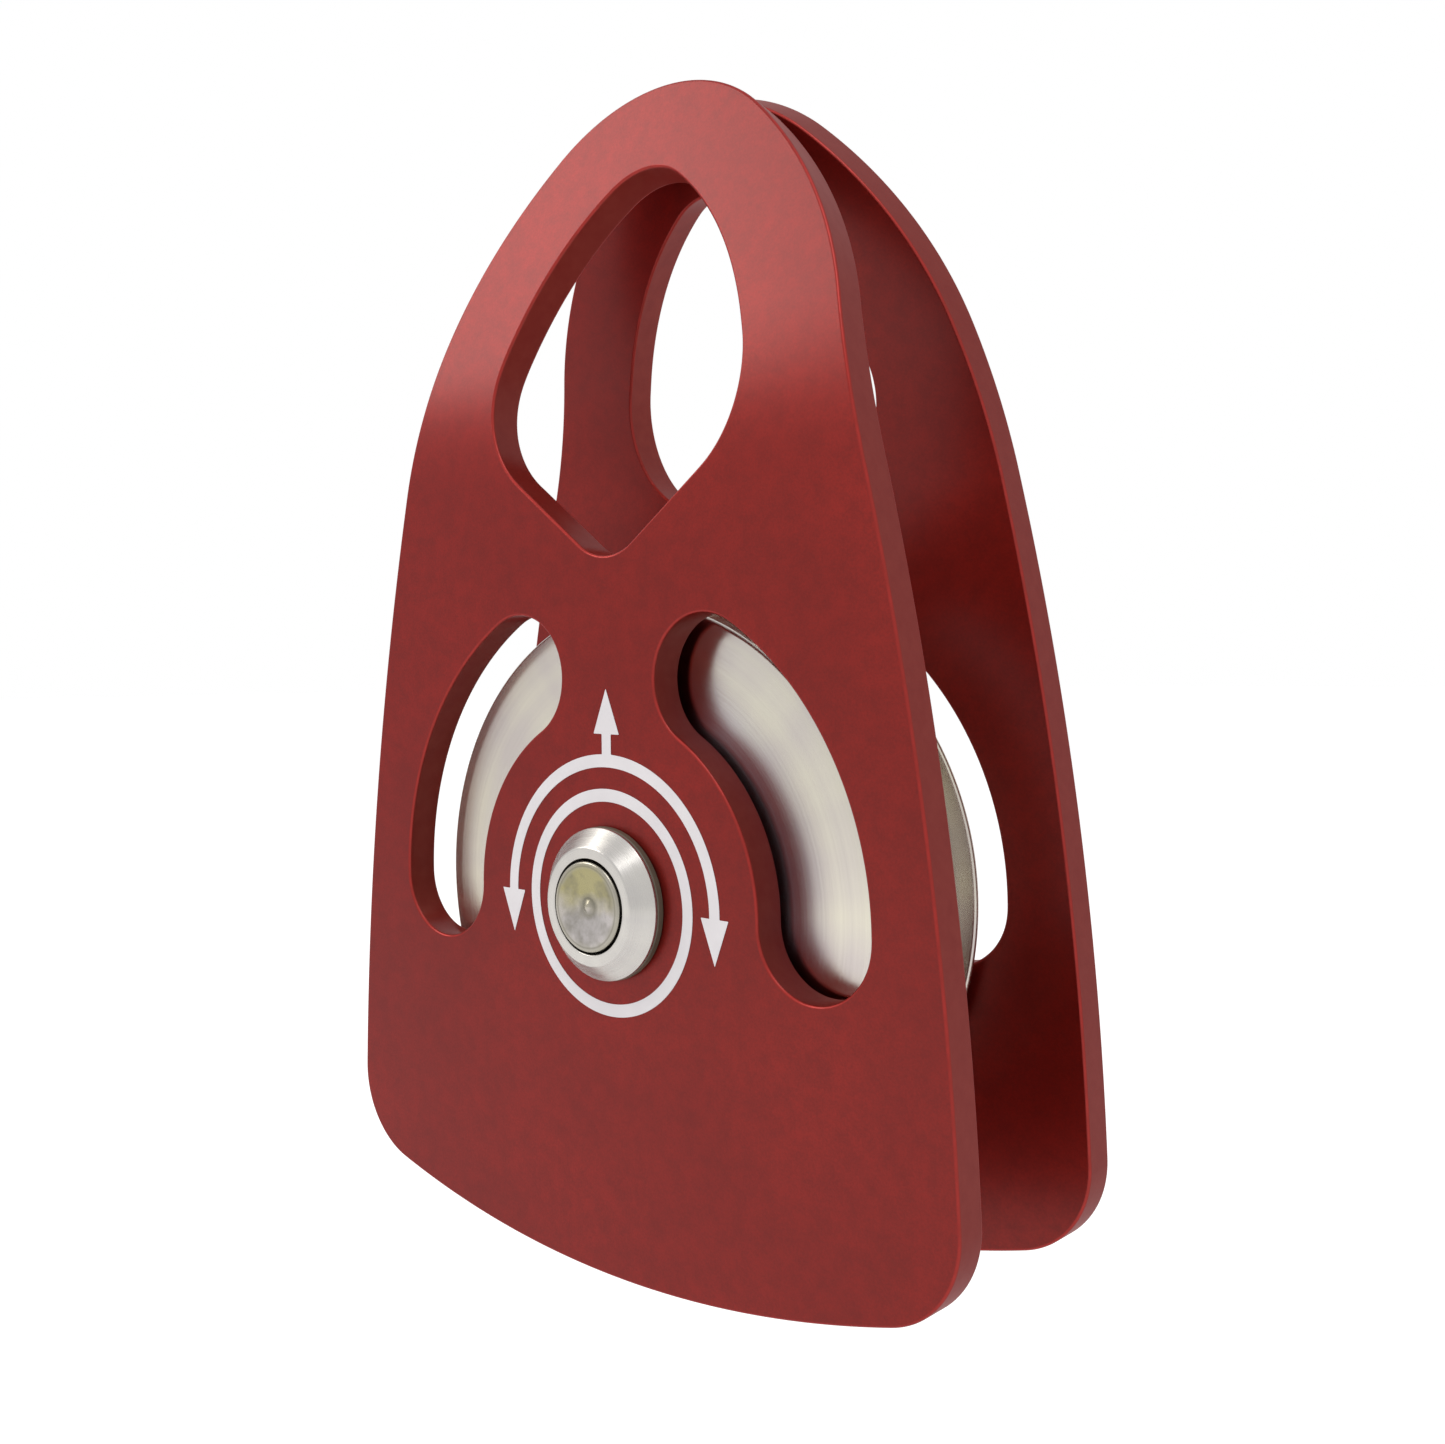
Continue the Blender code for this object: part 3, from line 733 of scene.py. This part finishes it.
@dataclass(frozen=True)
class PeenedSteel(Finish):
    """The axle's hammered end: a bright rubbed rim round a dull, stained dish.

    Attributes:
        dish: colour of the dish's upper half, darker and more olive.
        clean: colour of its lower half.
        stain: the colour of its darker patches and of the painted shade round the pip and the rim.
        patches: darker patches per metre.
        rim_wander: how far the patches move the rim's inner edge.
        rim_fade: width over which the dish turns into the rim.
        tide: waves per metre of the line where the upper tone begins.
        tide_wander: height of those waves.
        tide_line: heights above the axle, less the waves, between which the upper tone begins.
        crease: half widths between which the painted shade line round the dish
            fades.
        painted_pip_shade: half width of the painted shade round the pip.
        grain: features of the fine surface per metre.
        grain_depth: height of that surface.
    """

    dish: Triple
    clean: Triple
    stain: Triple
    patches: float = 480.0
    rim_wander: float = 0.0007
    rim_fade: float = 0.0006
    tide: float = 420.0
    tide_wander: float = 0.0042
    tide_line: tuple[float, float] = (0.0010, 0.0034)
    crease: tuple[float, float] = (0.00002, 0.00012)
    painted_pip_shade: float = 0.0005
    grain: float = 5200.0
    grain_depth: float = 0.000003

    def material(self) -> bpy.types.Material:
        """Build the peened finish: its tones follow the distance from the axle's middle."""
        shade = Shade(self.name)
        _, z, radius, _ = shade.from_axle()
        patches = shade.noise(self.patches, 4.0, 0.62)
        wander = shade.math("MULTIPLY_ADD", patches, self.rim_wander, radius)
        on_rim = shade.ramp(wander, 0.0, 1.0, DISH_RADIUS, DISH_RADIUS + self.rim_fade)
        # The dish turns darker and more olive above a wavy line.
        tide = shade.math("MULTIPLY_ADD", shade.noise(self.tide, 3.0), self.tide_wander, z)
        upper_tone_share = shade.ramp(tide, 0.0, 1.0, *self.tide_line)
        dull = shade.mix(shade.ramp(patches, 0.0, 0.6, 0.47, 0.68),
                         shade.mix(upper_tone_share, self.clean, self.dish), self.stain)
        # Painted shade: a darker line in the crease round the dish and a darker ring round the
        # pip's foot.
        crease = shade.math("ABSOLUTE", shade.math("SUBTRACT", radius, DISH_RADIUS))
        painted_pip_shade = shade.math("ABSOLUTE", shade.math("SUBTRACT", radius, 2.0 * PIP_RADIUS))
        marks = shade.math("MAXIMUM", shade.ramp(crease, 0.5, 0.0, *self.crease),
                           shade.ramp(painted_pip_shade, 0.75, 0.0, 0.0, self.painted_pip_shade))
        return shade.principled(
            Base_Color=shade.mix(marks, shade.mix(on_rim, dull, self.colour), self.stain),
            Metallic=1.0,
            Roughness=shade.around(patches, self.roughness, 0.07),
            Normal=shade.bump(shade.noise(self.grain), self.grain_depth))


@dataclass(frozen=True)
class Plain(Finish):
    """Ink, plastic or rubber: one tone with a faint drift and a fine surface.

    Attributes:
        deep: the tone it drifts to.
        scale: features of the fine surface per metre.
        depth: height of the fine surface.
    """

    deep: Triple
    scale: float = 2500.0
    depth: float = 0.000003

    def material(self) -> bpy.types.Material:
        """Build the plain finish."""
        shade = Shade(self.name)
        fine = shade.noise(self.scale)
        tone = shade.drift(shade.noise(self.scale / 8.0, 3.0), self.colour, self.deep)
        return shade.principled(
            Base_Color=tone,
            Roughness=shade.around(fine, self.roughness, 0.05),
            Normal=shade.bump(fine, self.depth, 0.8))


class Palette:
    """The pulley's materials, each built once."""

    def __init__(self) -> None:
        """Build every finish."""
        # The brighter red along the plates' rounded edges is partly a painted highlight.
        self.anodised = Anodised(
            "red_anodised", colour=(0.224, 0.010, 0.006), deep=(0.190, 0.008, 0.005),
            edge=(0.205, 0.022, 0.014), pit=(0.122, 0.006, 0.004), worn=(0.330, 0.020, 0.015),
            roughness=0.52, edge_roughness=0.62).material()
        self.ink = Plain(
            "white_ink", colour=(0.72, 0.69, 0.71), deep=(0.68, 0.65, 0.67),
            roughness=0.5).material()
        # The sheave's violet tint is a painted reflection of the plate's shaded inside.
        self.sheave = TurnedMetal(
            "turned_aluminium", colour=(0.62, 0.585, 0.485), stain=(0.50, 0.45, 0.44),
            stain_and_sheen_amount=0.8, roughness=0.22, anisotropy=0.82, ring_pitch=5200.0,
            ring_depth=0.00000012, film=(0.43, 0.42, 0.54), film_amount=0.6).material()
        # The stain rays on the cap and on the sheave are painted sheen.
        self.cap = TurnedMetal(
            "turned_steel", colour=(0.53, 0.51, 0.48), stain=(0.42, 0.40, 0.40),
            stain_and_sheen_amount=0.4, roughness=0.27, anisotropy=0.65, ring_pitch=7000.0,
            ring_depth=0.0000008).material()
        self.axle = PeenedSteel(
            "dull_steel", colour=(0.34, 0.32, 0.27), dish=(0.31, 0.28, 0.15),
            clean=(0.43, 0.40, 0.39), stain=(0.15, 0.14, 0.11), roughness=0.29).material()
        self.ground = MottledMetal(
            "ground_steel", colour=(0.62, 0.62, 0.62), stain=(0.56, 0.56, 0.57),
            roughness=0.22, scale=900.0).material()
        self.polished = MottledMetal(
            "polished_steel", colour=(0.80, 0.80, 0.80), stain=(0.76, 0.76, 0.77),
            roughness=0.12, scale=300.0, depth=0.0000002).material()
        self.bronze = MottledMetal(
            "bronze", colour=(0.55, 0.38, 0.20), stain=(0.44, 0.29, 0.15),
            roughness=0.34, scale=600.0).material()
        # The washer's dark tone is partly painted shade for the cap's shaded foot.
        self.cap_washer = Plain(
            "dark_plastic", colour=(0.120, 0.098, 0.070), deep=(0.085, 0.072, 0.050),
            roughness=0.5).material()
        self.cage = Plain(
            "cage_nylon", colour=(0.16, 0.13, 0.10), deep=(0.12, 0.10, 0.08),
            roughness=0.5).material()
        self.rubber = Plain(
            "shield_rubber", colour=(0.030, 0.030, 0.031), deep=(0.020, 0.020, 0.021),
            roughness=0.62).material()


# ------------------------------------------------------------------------------ pieces
def add_piece(name: str, surface: Surface, material: bpy.types.Material, body: str,
              replaced: Sequence[str] = ()) -> None:
    """Make a surface a piece of the pulley and hang it on the CAD body it rides on.

    Args:
        name: the piece's name.
        surface: its shape, in the part's frame.
        material: its finish.
        body: the CAD body it rides on.
        replaced: CAD nodes that it stands for.
    """
    mesh = surface.mesh(name)
    mesh.materials.append(material)
    piece = bpy.data.objects.new(name, mesh)
    bpy.context.collection.objects.link(piece)
    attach(piece, body)
    if replaced:
        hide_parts(*replaced)
    log.info("%s: %d faces on body %s", name, len(mesh.polygons), body)


def dress_node(name: str, material: bpy.types.Material) -> None:
    """Give a CAD node that stays its finish."""
    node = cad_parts[name]
    for slot in node.material_slots:
        slot.material = material
    log.info("%s: CAD node with %s", name, material.name)


@dataclass(frozen=True)
class PlateShape:
    """Sizes of a cheek plate, drawn flat, with heights counted from the axle."""

    thickness: float = 0.0030
    edge_radius: float = 0.00024
    half_width: float = 0.03498
    widest_below_axle: float = 0.0333
    bottom_below_axle: float = 0.0320
    bottom_arc_radius: float = 0.1041
    corner_radius: float = 0.0082
    shoulder_half_width: float = 0.0230
    shoulder_height: float = 0.0476
    top_height: float = 0.06934
    top_arc_radius: float = 0.0172
    top_arc_half_angle: float = math.radians(41.7)
    crown_height: float = 0.0617
    crown_radius: float = 0.0065
    crown_half_angle: float = math.radians(36.4)
    eye_half_width: float = 0.01445
    eye_corner_radius: float = 0.0090
    eye_corner_turn: float = math.radians(17.1)
    eye_apex_height: float = 0.0277
    eye_apex_slope: float = math.radians(36.0)
    eye_apex_radius: float = 0.0052
    slot_centre_radius: float = 0.02165
    slot_width: float = 0.0107
    slot_end: float = math.radians(60.0)
    axle_hole_radius: float = 0.0040
    bend_height: float = 0.0412
    bend_angle: float = math.radians(15.4)
    bend_radius: float = 0.0455

    def outer(self) -> np.ndarray:
        """Outer edge, counter-clockwise from the middle of the bottom.

        Arcs for the bottom, the corner, the side and the top, and a cubic curve for the shoulder.
        The corner's circle lies inside both the side's circle and the bottom's.
        """
        drop = self.shoulder_height + self.widest_below_axle
        taper = self.half_width - self.shoulder_half_width
        side_radius = (drop ** 2 + taper ** 2) / (2 * taper)
        side_centre = np.array((self.half_width - side_radius, -self.widest_below_axle))
        shoulder_turn = math.asin(drop / side_radius)
        bottom_centre = np.array((0.0, self.bottom_arc_radius - self.bottom_below_axle))
        to_side = side_radius - self.corner_radius
        to_bottom = self.bottom_arc_radius - self.corner_radius
        apart = math.dist(side_centre, bottom_centre)
        along = (to_side ** 2 - to_bottom ** 2 + apart ** 2) / (2 * apart)
        across = math.sqrt(to_side ** 2 - along ** 2)
        unit = (bottom_centre - side_centre) / apart
        corner = side_centre + along * unit + across * np.array((unit[1], -unit[0]))
        from_bottom = math.atan2(*(corner - bottom_centre)[::-1])
        from_side = math.atan2(*(corner - side_centre)[::-1])
        top_centre = (0.0, self.top_height - self.top_arc_radius)
        top_turn = math.pi / 2 - self.top_arc_half_angle
        bottom = arc(bottom_centre, self.bottom_arc_radius, -math.pi / 2, from_bottom, 60)
        turn = arc(corner, self.corner_radius, from_bottom, from_side, 60)
        side = arc(side_centre, side_radius, from_side, shoulder_turn, 120)
        top = arc(top_centre, self.top_arc_radius, top_turn, math.pi / 2, 60)
        shoulder = blend(side[-1], heading(shoulder_turn), top[0], heading(top_turn), 60)
        return mirrored(np.vstack((bottom, turn[1:], side[1:], shoulder[1:-1], top)))

    def eye(self) -> np.ndarray:
        """Carabiner eye: a rounded V below, full sides and a round crown above."""
        lean = math.pi / 2 - self.eye_apex_slope
        rise = math.cos(self.eye_apex_slope)
        corner_x = self.eye_half_width - self.eye_corner_radius
        corner = (corner_x, self.eye_apex_height + corner_x * math.tan(self.eye_apex_slope)
                  + self.eye_corner_radius / rise)
        crown_turn = math.pi / 2 - self.crown_half_angle
        apex = arc((0.0, self.eye_apex_height + self.eye_apex_radius / rise),
                   self.eye_apex_radius, -math.pi / 2, -lean, 30)
        turn = arc(corner, self.eye_corner_radius, -lean, self.eye_corner_turn, 40)
        crown = arc((0.0, self.crown_height - self.crown_radius), self.crown_radius,
                    crown_turn, math.pi / 2, 50)
        side = blend(turn[-1], heading(self.eye_corner_turn), crown[0], heading(crown_turn), 60)
        return mirrored(np.vstack((apex, turn, side[1:-1], crown)))

    def window(self, side: int) -> np.ndarray:
        """Curved window round the axle, on the right (1) or the left (-1)."""
        half = self.slot_width / 2
        middle, end = self.slot_centre_radius, self.slot_end
        centre = (middle * math.cos(end), middle * math.sin(end))
        right = np.vstack((
            arc((0.0, 0.0), middle + half, 0.0, end, 60),
            arc(centre, half, end, end + math.pi, 40)[1:],
            arc((0.0, 0.0), middle - half, end, 0.0, 40)[1:],
            arc((middle, 0.0), half, math.pi, FULL_TURN, 40)[1:-1]))
        return right if side > 0 else right[::-1] * (-1, 1)

    def axle_hole(self) -> np.ndarray:
        """Round hole for the axle."""
        return arc((0.0, 0.0), self.axle_hole_radius, 0.0, FULL_TURN, 97)[:-1]

    def bent(self, flat: Surface, end: End) -> Surface:
        """Lean a flat sheet inwards above the sheave and set it in its place.

        Along the bend the sheet follows a circle: a point at a turn of a is moved inwards by the
        bend's radius times (1 - cos a) and stands at the radius times sin a above the bend's
        start.  Beyond the bend it goes straight on.  Its offset from the middle of the sheet
        turns with it.

        Args:
            flat: the sheet, drawn flat.
            end: which plate it is.

        Returns:
            The bent sheet in the part's frame.
        """
        x, offset, height = flat.points.T
        start = self.bend_height - self.bend_radius * math.tan(self.bend_angle / 2)
        turn = np.clip((height - start) / self.bend_radius, 0.0, self.bend_angle)
        beyond = np.maximum(height - start - self.bend_radius * self.bend_angle, 0.0)
        sine, cosine = np.sin(turn), np.cos(turn)
        inwards = self.bend_radius * (1 - cosine) + beyond * sine + offset * cosine
        level = (np.minimum(height, start) + self.bend_radius * sine + beyond * cosine
                 - offset * sine)
        y = end.value * (PLATE_FACE - self.thickness / 2 - inwards)
        nx, through, up = flat.normals.T
        ny = -end.value * (through * cosine + up * sine)
        nz = up * cosine - through * sine
        bent = Surface(np.column_stack((x, y, level + AXLE[1])), np.column_stack((nx, ny, nz)),
                       flat.quads, flat.triangles, flat.marks)
        return bent if end is End.FRONT else bent.flipped()


@dataclass(frozen=True)
class CheekPlates:
    """The two cheek plates, one pressing made twice."""

    shape: PlateShape = field(default_factory=PlateShape)
    outline_spacing: float = 0.00035
    lattice: float = 0.0012

    def build(self, palette: Palette) -> None:
        """Make both plates."""
        shape = self.shape
        sheet = Sheet(shape.thickness, shape.edge_radius, self.outline_spacing, self.lattice)
        flat = sheet.surface(shape.outer(), (shape.eye(), shape.window(1), shape.window(-1),
                                             shape.axle_hole()))
        for end, body in ((End.FRONT, "frame"), (End.REAR, "rear_cheek")):
            add_piece(f"{end.prefix}_plate", shape.bent(flat, end), palette.anodised, body,
                      [f"{end.prefix}_cheek_plate"])


@dataclass(frozen=True)
class LoadDiagram:
    """Printed ring and arrows round the axle on the front plate."""

    ink_thickness: float = 0.00003
    outline_spacing: float = 0.00012
    lattice: float = 0.0006
    lift: float = 0.000004
    ring_inner: float = 0.00850
    ring_outer: float = 0.00958
    arc_inner: float = 0.01138
    arc_outer: float = 0.01246
    up_base: float = 0.01415
    up_tip: float = 0.01793
    up_half_width: float = 0.00150
    stem_half_width: float = 0.00053
    down_tip: float = -0.00378
    down_half_width: float = 0.00146

    def arrows(self) -> np.ndarray:
        """Outline of the upper arc with an arrow at each end and one on top."""
        middle = (self.arc_inner + self.arc_outer) / 2
        stem_turn = math.asin(self.stem_half_width / self.arc_outer)
        right = np.vstack((
            [(self.arc_inner, 0.0), (middle - self.down_half_width, 0.0),
             (middle, self.down_tip), (middle + self.down_half_width, 0.0)],
            arc((0.0, 0.0), self.arc_outer, 0.0, math.pi / 2 - stem_turn, 90),
            [(self.stem_half_width, self.up_base), (self.up_half_width, self.up_base),
             (0.0, self.up_tip)]))
        left = right[-2::-1] * (-1, 1)
        under = arc((0.0, 0.0), self.arc_inner, math.pi, 0.0, 180)[1:-1]
        return np.vstack((right, left, under))

    def placed(self, flat: Surface) -> Surface:
        """Set flat ink just clear of the front plate's face."""
        y = -(PLATE_FACE + self.lift + self.ink_thickness / 2)
        points = flat.points + (0.0, y, AXLE[1])
        return Surface(points, flat.normals, flat.quads, flat.triangles)

    def build(self, palette: Palette) -> None:
        """Print the ring and the arrows."""
        sheet = Sheet(self.ink_thickness, self.ink_thickness / 3, self.outline_spacing,
                      self.lattice, edge_steps=2)
        circle = arc((0.0, 0.0), 1.0, 0.0, FULL_TURN, 361)[:-1]
        ring = sheet.surface(circle * self.ring_outer, [circle * self.ring_inner])
        arrows = sheet.surface(self.arrows())
        for name, flat in (("printed_ring", ring), ("printed_arrows", arrows)):
            add_piece(name, self.placed(flat), palette.ink, "frame")


@dataclass(frozen=True)
class Sheave:
    """Grooved wheel with flat faces, turned in one piece."""

    radius: float = 0.0250
    groove_depth: float = 0.0070
    seat_radius: float = 0.0063
    seat_half_angle: float = math.radians(76.0)
    rim_half: float = 0.0071
    lip_thickness: float = 0.0007
    lip_round: float = 0.00030
    fall_width: float = 0.0012
    fall: float = 0.00009
    fall_round: float = 0.0060
    hub_half: float = 0.0072
    hub_radius: float = 0.0125
    hub_slope: float = 0.0002
    sharp_round: float = 0.0001
    bore_round: float = 0.0002
    bore: float = 0.0098
    shoulder_half: float = 0.0005
    shoulder_radius: float = 0.0086
    steps: int = 256

    def profile(self) -> np.ndarray:
        """Closed section of the wheel.

        The rope seat is an arc.  Each face is flat, falls away slightly towards the rim, and lies
        a little below the hub's ring.
        """
        centre = self.radius - self.groove_depth + self.seat_radius
        turn = np.linspace(0.0, self.seat_half_angle, 28)
        seat = np.column_stack((centre - self.seat_radius * np.cos(turn),
                                self.seat_radius * np.sin(turn), 0 * turn))
        corners = np.vstack((
            seat,
            [(self.radius, self.rim_half - self.lip_thickness, self.lip_round),
             (self.radius, self.rim_half - self.fall, self.lip_round),
             (self.radius - self.fall_width, self.rim_half, self.fall_round),
             (self.hub_radius + self.hub_slope, self.rim_half, self.sharp_round),
             (self.hub_radius, self.hub_half, self.sharp_round),
             (self.bore, self.hub_half, self.bore_round),
             (self.bore, self.shoulder_half, 0.0),
             (self.shoulder_radius, self.shoulder_half, self.sharp_round)]))
        whole = np.vstack((corners, corners[:0:-1] * (1, -1, 1)))
        return rounded([tuple(row) for row in whole.tolist()])

    def build(self, palette: Palette) -> None:
        """Make the sheave."""
        add_piece("grooved_sheave", turned(self.profile(), self.steps), palette.sheave, "sheave",
                  ["sheave"])


@dataclass(frozen=True)
class AxleEnds:
    """The axle with its peened ends, and the bevelled cap and its washer round each end."""

    axle_radius: float = 0.00378
    face: float = 0.0134
    pip_height: float = 0.00032
    dish_depth: float = 0.00038
    end_round: float = 0.00022
    cap_bore: float = 0.0040
    cap_radius: float = 0.0064
    cap_face: float = 0.0132
    cap_face_radius: float = 0.0049
    cap_base: float = 0.0115
    cap_rim: float = 0.00025
    washer_radius: float = 0.00645
    washer_base: float = 0.01081
    bevel_round: float = 0.00030
    cap_round: float = 0.00008
    washer_round: float = 0.00015
    sharp_round: float = 0.00005
    steps: int = 160

    def axle_profile(self) -> np.ndarray:
        """Half section of the axle, from the middle of one end to the middle of the other.

        The end's face is a shallow dish, a cosine of the share of the way out, with a small pip
        raised in its middle by a squared cosine.
        """
        foot = 2.4 * PIP_RADIUS
        r = np.concatenate((np.linspace(0.0, foot, 12), np.linspace(foot, DISH_RADIUS, 26)[1:]))
        dish = self.dish_depth * 0.5 * (1 + np.cos(math.pi * r / DISH_RADIUS))
        pip = self.pip_height * np.cos(np.clip(r / foot, 0, 1) * math.pi / 2) ** 2
        end = np.column_stack((r, self.face - dish + pip))
        turn = np.linspace(0.0, math.pi / 2, 8)
        edge = np.column_stack((self.axle_radius - self.end_round * (1 - np.sin(turn)),
                                self.face - self.end_round * (1 - np.cos(turn))))
        half = np.vstack((end, edge))
        return np.vstack((half, half[::-1] * (1, -1)))

    def cap_profile(self) -> np.ndarray:
        """Section of the rear cap: short rim, broad bevel, narrow flat ring and bore."""
        return rounded([
            (self.cap_bore, self.cap_base, 0.0),
            (self.cap_radius, self.cap_base, self.sharp_round),
            (self.cap_radius, self.cap_base + self.cap_rim, self.cap_round),
            (self.cap_face_radius, self.cap_face, self.bevel_round),
            (self.cap_bore, self.cap_face, self.cap_round),
        ])

    def washer_profile(self) -> np.ndarray:
        """Section of the flat washer between the rear cap and its cheek plate."""
        # The washer reaches up to the cap's base; its dark tone is partly painted shade for the
        # cap's shaded foot and the gap beside it.
        return rounded([
            (self.cap_bore, self.washer_base, self.sharp_round),
            (self.washer_radius, self.washer_base, self.washer_round),
            (self.washer_radius, self.cap_base, self.washer_round),
            (self.cap_bore, self.cap_base, self.sharp_round),
        ])

    def build(self, palette: Palette) -> None:
        """Make the axle, both caps and their washers; the front ones mirror the rear ones."""
        add_piece("axle", turned(self.axle_profile(), self.steps), palette.axle, "frame",
                  ["axle_pin"])
        rings = (("cap", self.cap_profile(), palette.cap, "axle_caps", "axle_cap"),
                 ("washer", self.washer_profile(), palette.cap_washer, "cap_washers", "cap_washer"))
        for end in End:
            for name, section, material, slot, node in rings:
                add_piece(f"{end.prefix}_{name}", turned(section * (1, end.value), self.steps),
                          material, "frame", [f"{end.prefix}_{node}"])


@dataclass(frozen=True)
class Bearings:
    """The two sealed bearings and the washers beside them, which stay as CAD nodes."""

    balls: int = 7

    def build(self, palette: Palette) -> None:
        """Dress every CAD node that stays."""
        dress_node("inner_ring_spacer", palette.ground)
        for end in End:
            prefix = end.prefix
            dress_node(f"{prefix}_thrust_washer", palette.bronze)
            dress_node(f"{prefix}_bearing_cage", palette.cage)
            for ring in ("inner", "outer"):
                dress_node(f"{prefix}_bearing_{ring}_ring", palette.ground)
            for face in ("inward", "outward"):
                dress_node(f"{prefix}_bearing_{face}_shield", palette.rubber)
            for number in range(1, self.balls + 1):
                dress_node(f"{prefix}_bearing_ball_{number}", palette.polished)


# ------------------------------------------------------------------------------ studio
@dataclass(frozen=True)
class Lamp:
    """A square soft light.

    Attributes:
        name: its name.
        place: where it hangs.
        target: what it points at.
        size: side of the square.
        power: in watts.
        colour: of its light.
    """

    name: str
    place: Triple
    target: Triple
    size: float
    power: float
    colour: Triple = (1.0, 1.0, 1.0)

    def build(self) -> None:
        """Hang the lamp."""
        light = bpy.data.lights.new(self.name, "AREA")
        light.shape = "SQUARE"
        light.size = self.size
        light.energy = self.power
        light.color = self.colour
        lamp = bpy.data.objects.new(self.name, light)
        lamp.location = self.place
        way = Vector(self.target) - Vector(self.place)
        lamp.rotation_euler = way.to_track_quat("-Z", "Y").to_euler()
        bpy.context.collection.objects.link(lamp)


@dataclass(frozen=True)
class Studio:
    """White room, pale floor, soft lamps and the camera."""

    floor_drop: float = 0.060
    floor_radius: float = 3.0
    floor_sides: int = 96
    floor_glow: float = 0.33
    world_strength: float = 0.78
    focal_pixels: float = 1559.9636
    picture_width: int = 1445
    sensor_width: float = 36.0
    camera_from_axle: Triple = (0.093128, -0.101050, 0.022682)
    camera_right: Triple = (0.7478032, 0.6638666, -0.0084449)
    camera_down: Triple = (0.0326581, -0.0494857, -0.9982408)
    lamps: tuple[Lamp, ...] = (
        Lamp("window_lamp", place=(-0.470, -0.350, 0.370), target=(0.0, 0.0, -0.02), size=0.31,
             power=1.62, colour=(1.0, 0.97, 0.91)),
        Lamp("ceiling_lamp", place=(0.18, -0.22, 0.50), target=(0.0, 0.0, -0.03), size=0.26,
             power=0.8),
    )

    def _world(self) -> None:
        """White to the eye and in mirrors, a little dimmer as a light."""
        world = bpy.data.worlds.new("white_room")
        world.use_nodes = True
        nodes = Nodes(world.node_tree)
        background = nodes.tree.nodes["Background"]
        nodes.set(background, "Color", (1.0, 1.0, 1.0))
        nodes.set(background, "Strength",
                  nodes.ramp(nodes.background_share(), self.world_strength, 1.0))
        bpy.context.scene.world = world

    def _floor(self) -> None:
        """Pale disc below the hanging pulley, as white as the room behind it."""
        turn = np.arange(self.floor_sides) * FULL_TURN / self.floor_sides
        floor_z = CAD_BOX[0][2] - self.floor_drop
        points = np.column_stack((self.floor_radius * np.cos(turn),
                                  self.floor_radius * np.sin(turn), 0 * turn + floor_z))
        mesh = bpy.data.meshes.new("floor")
        mesh.from_pydata(points.tolist(), [], [list(range(self.floor_sides))])
        shade = Shade("pale_floor")
        shade.principled(Base_Color=(0.86, 0.86, 0.86), Roughness=0.9)
        glow = shade.node("ShaderNodeEmission", {
            "Color": (1.0, 1.0, 1.0),
            "Strength": shade.ramp(shade.background_share(), 0.0, self.floor_glow)})
        both = shade.node("ShaderNodeAddShader", {0: shade.shader.outputs[0], 1: glow.outputs[0]})
        shade.set(shade.tree.nodes["Material Output"], "Surface", both.outputs[0])
        mesh.materials.append(shade.material)
        floor = bpy.data.objects.new("floor", mesh)
        bpy.context.collection.objects.link(floor)

    def _camera(self) -> None:
        """Camera at the photograph's place, turn and focal length."""
        right, down = Vector(self.camera_right), Vector(self.camera_down)
        right.normalize()
        back = down.cross(right).normalized()
        up = back.cross(right)
        data = bpy.data.cameras.new("camera")
        data.sensor_fit = "HORIZONTAL"
        data.sensor_width = self.sensor_width
        data.lens = self.focal_pixels * self.sensor_width / self.picture_width
        data.clip_start = 0.005
        camera = bpy.data.objects.new("camera", data)
        place = Vector(self.camera_from_axle) + Vector((AXLE[0], 0.0, AXLE[1]))
        turn = Matrix((right, up, back)).transposed()
        camera.matrix_world = Matrix.Translation(place) @ turn.to_4x4()
        bpy.context.collection.objects.link(camera)
        bpy.context.scene.camera = camera

    def build(self) -> None:
        """Set up the room."""
        self._camera()
        self._world()
        self._floor()
        for lamp in self.lamps:
            lamp.build()
        bpy.context.scene.view_settings.view_transform = "Standard"


def main() -> None:
    """Build the pulley's looks in order."""
    logging.basicConfig(level=logging.INFO, format="%(message)s")
    palette = Palette()
    Studio().build()
    for assembly in (CheekPlates(), LoadDiagram(), Sheave(), AxleEnds(), Bearings()):
        assembly.build(palette)


if __name__ == "__main__":
    main()
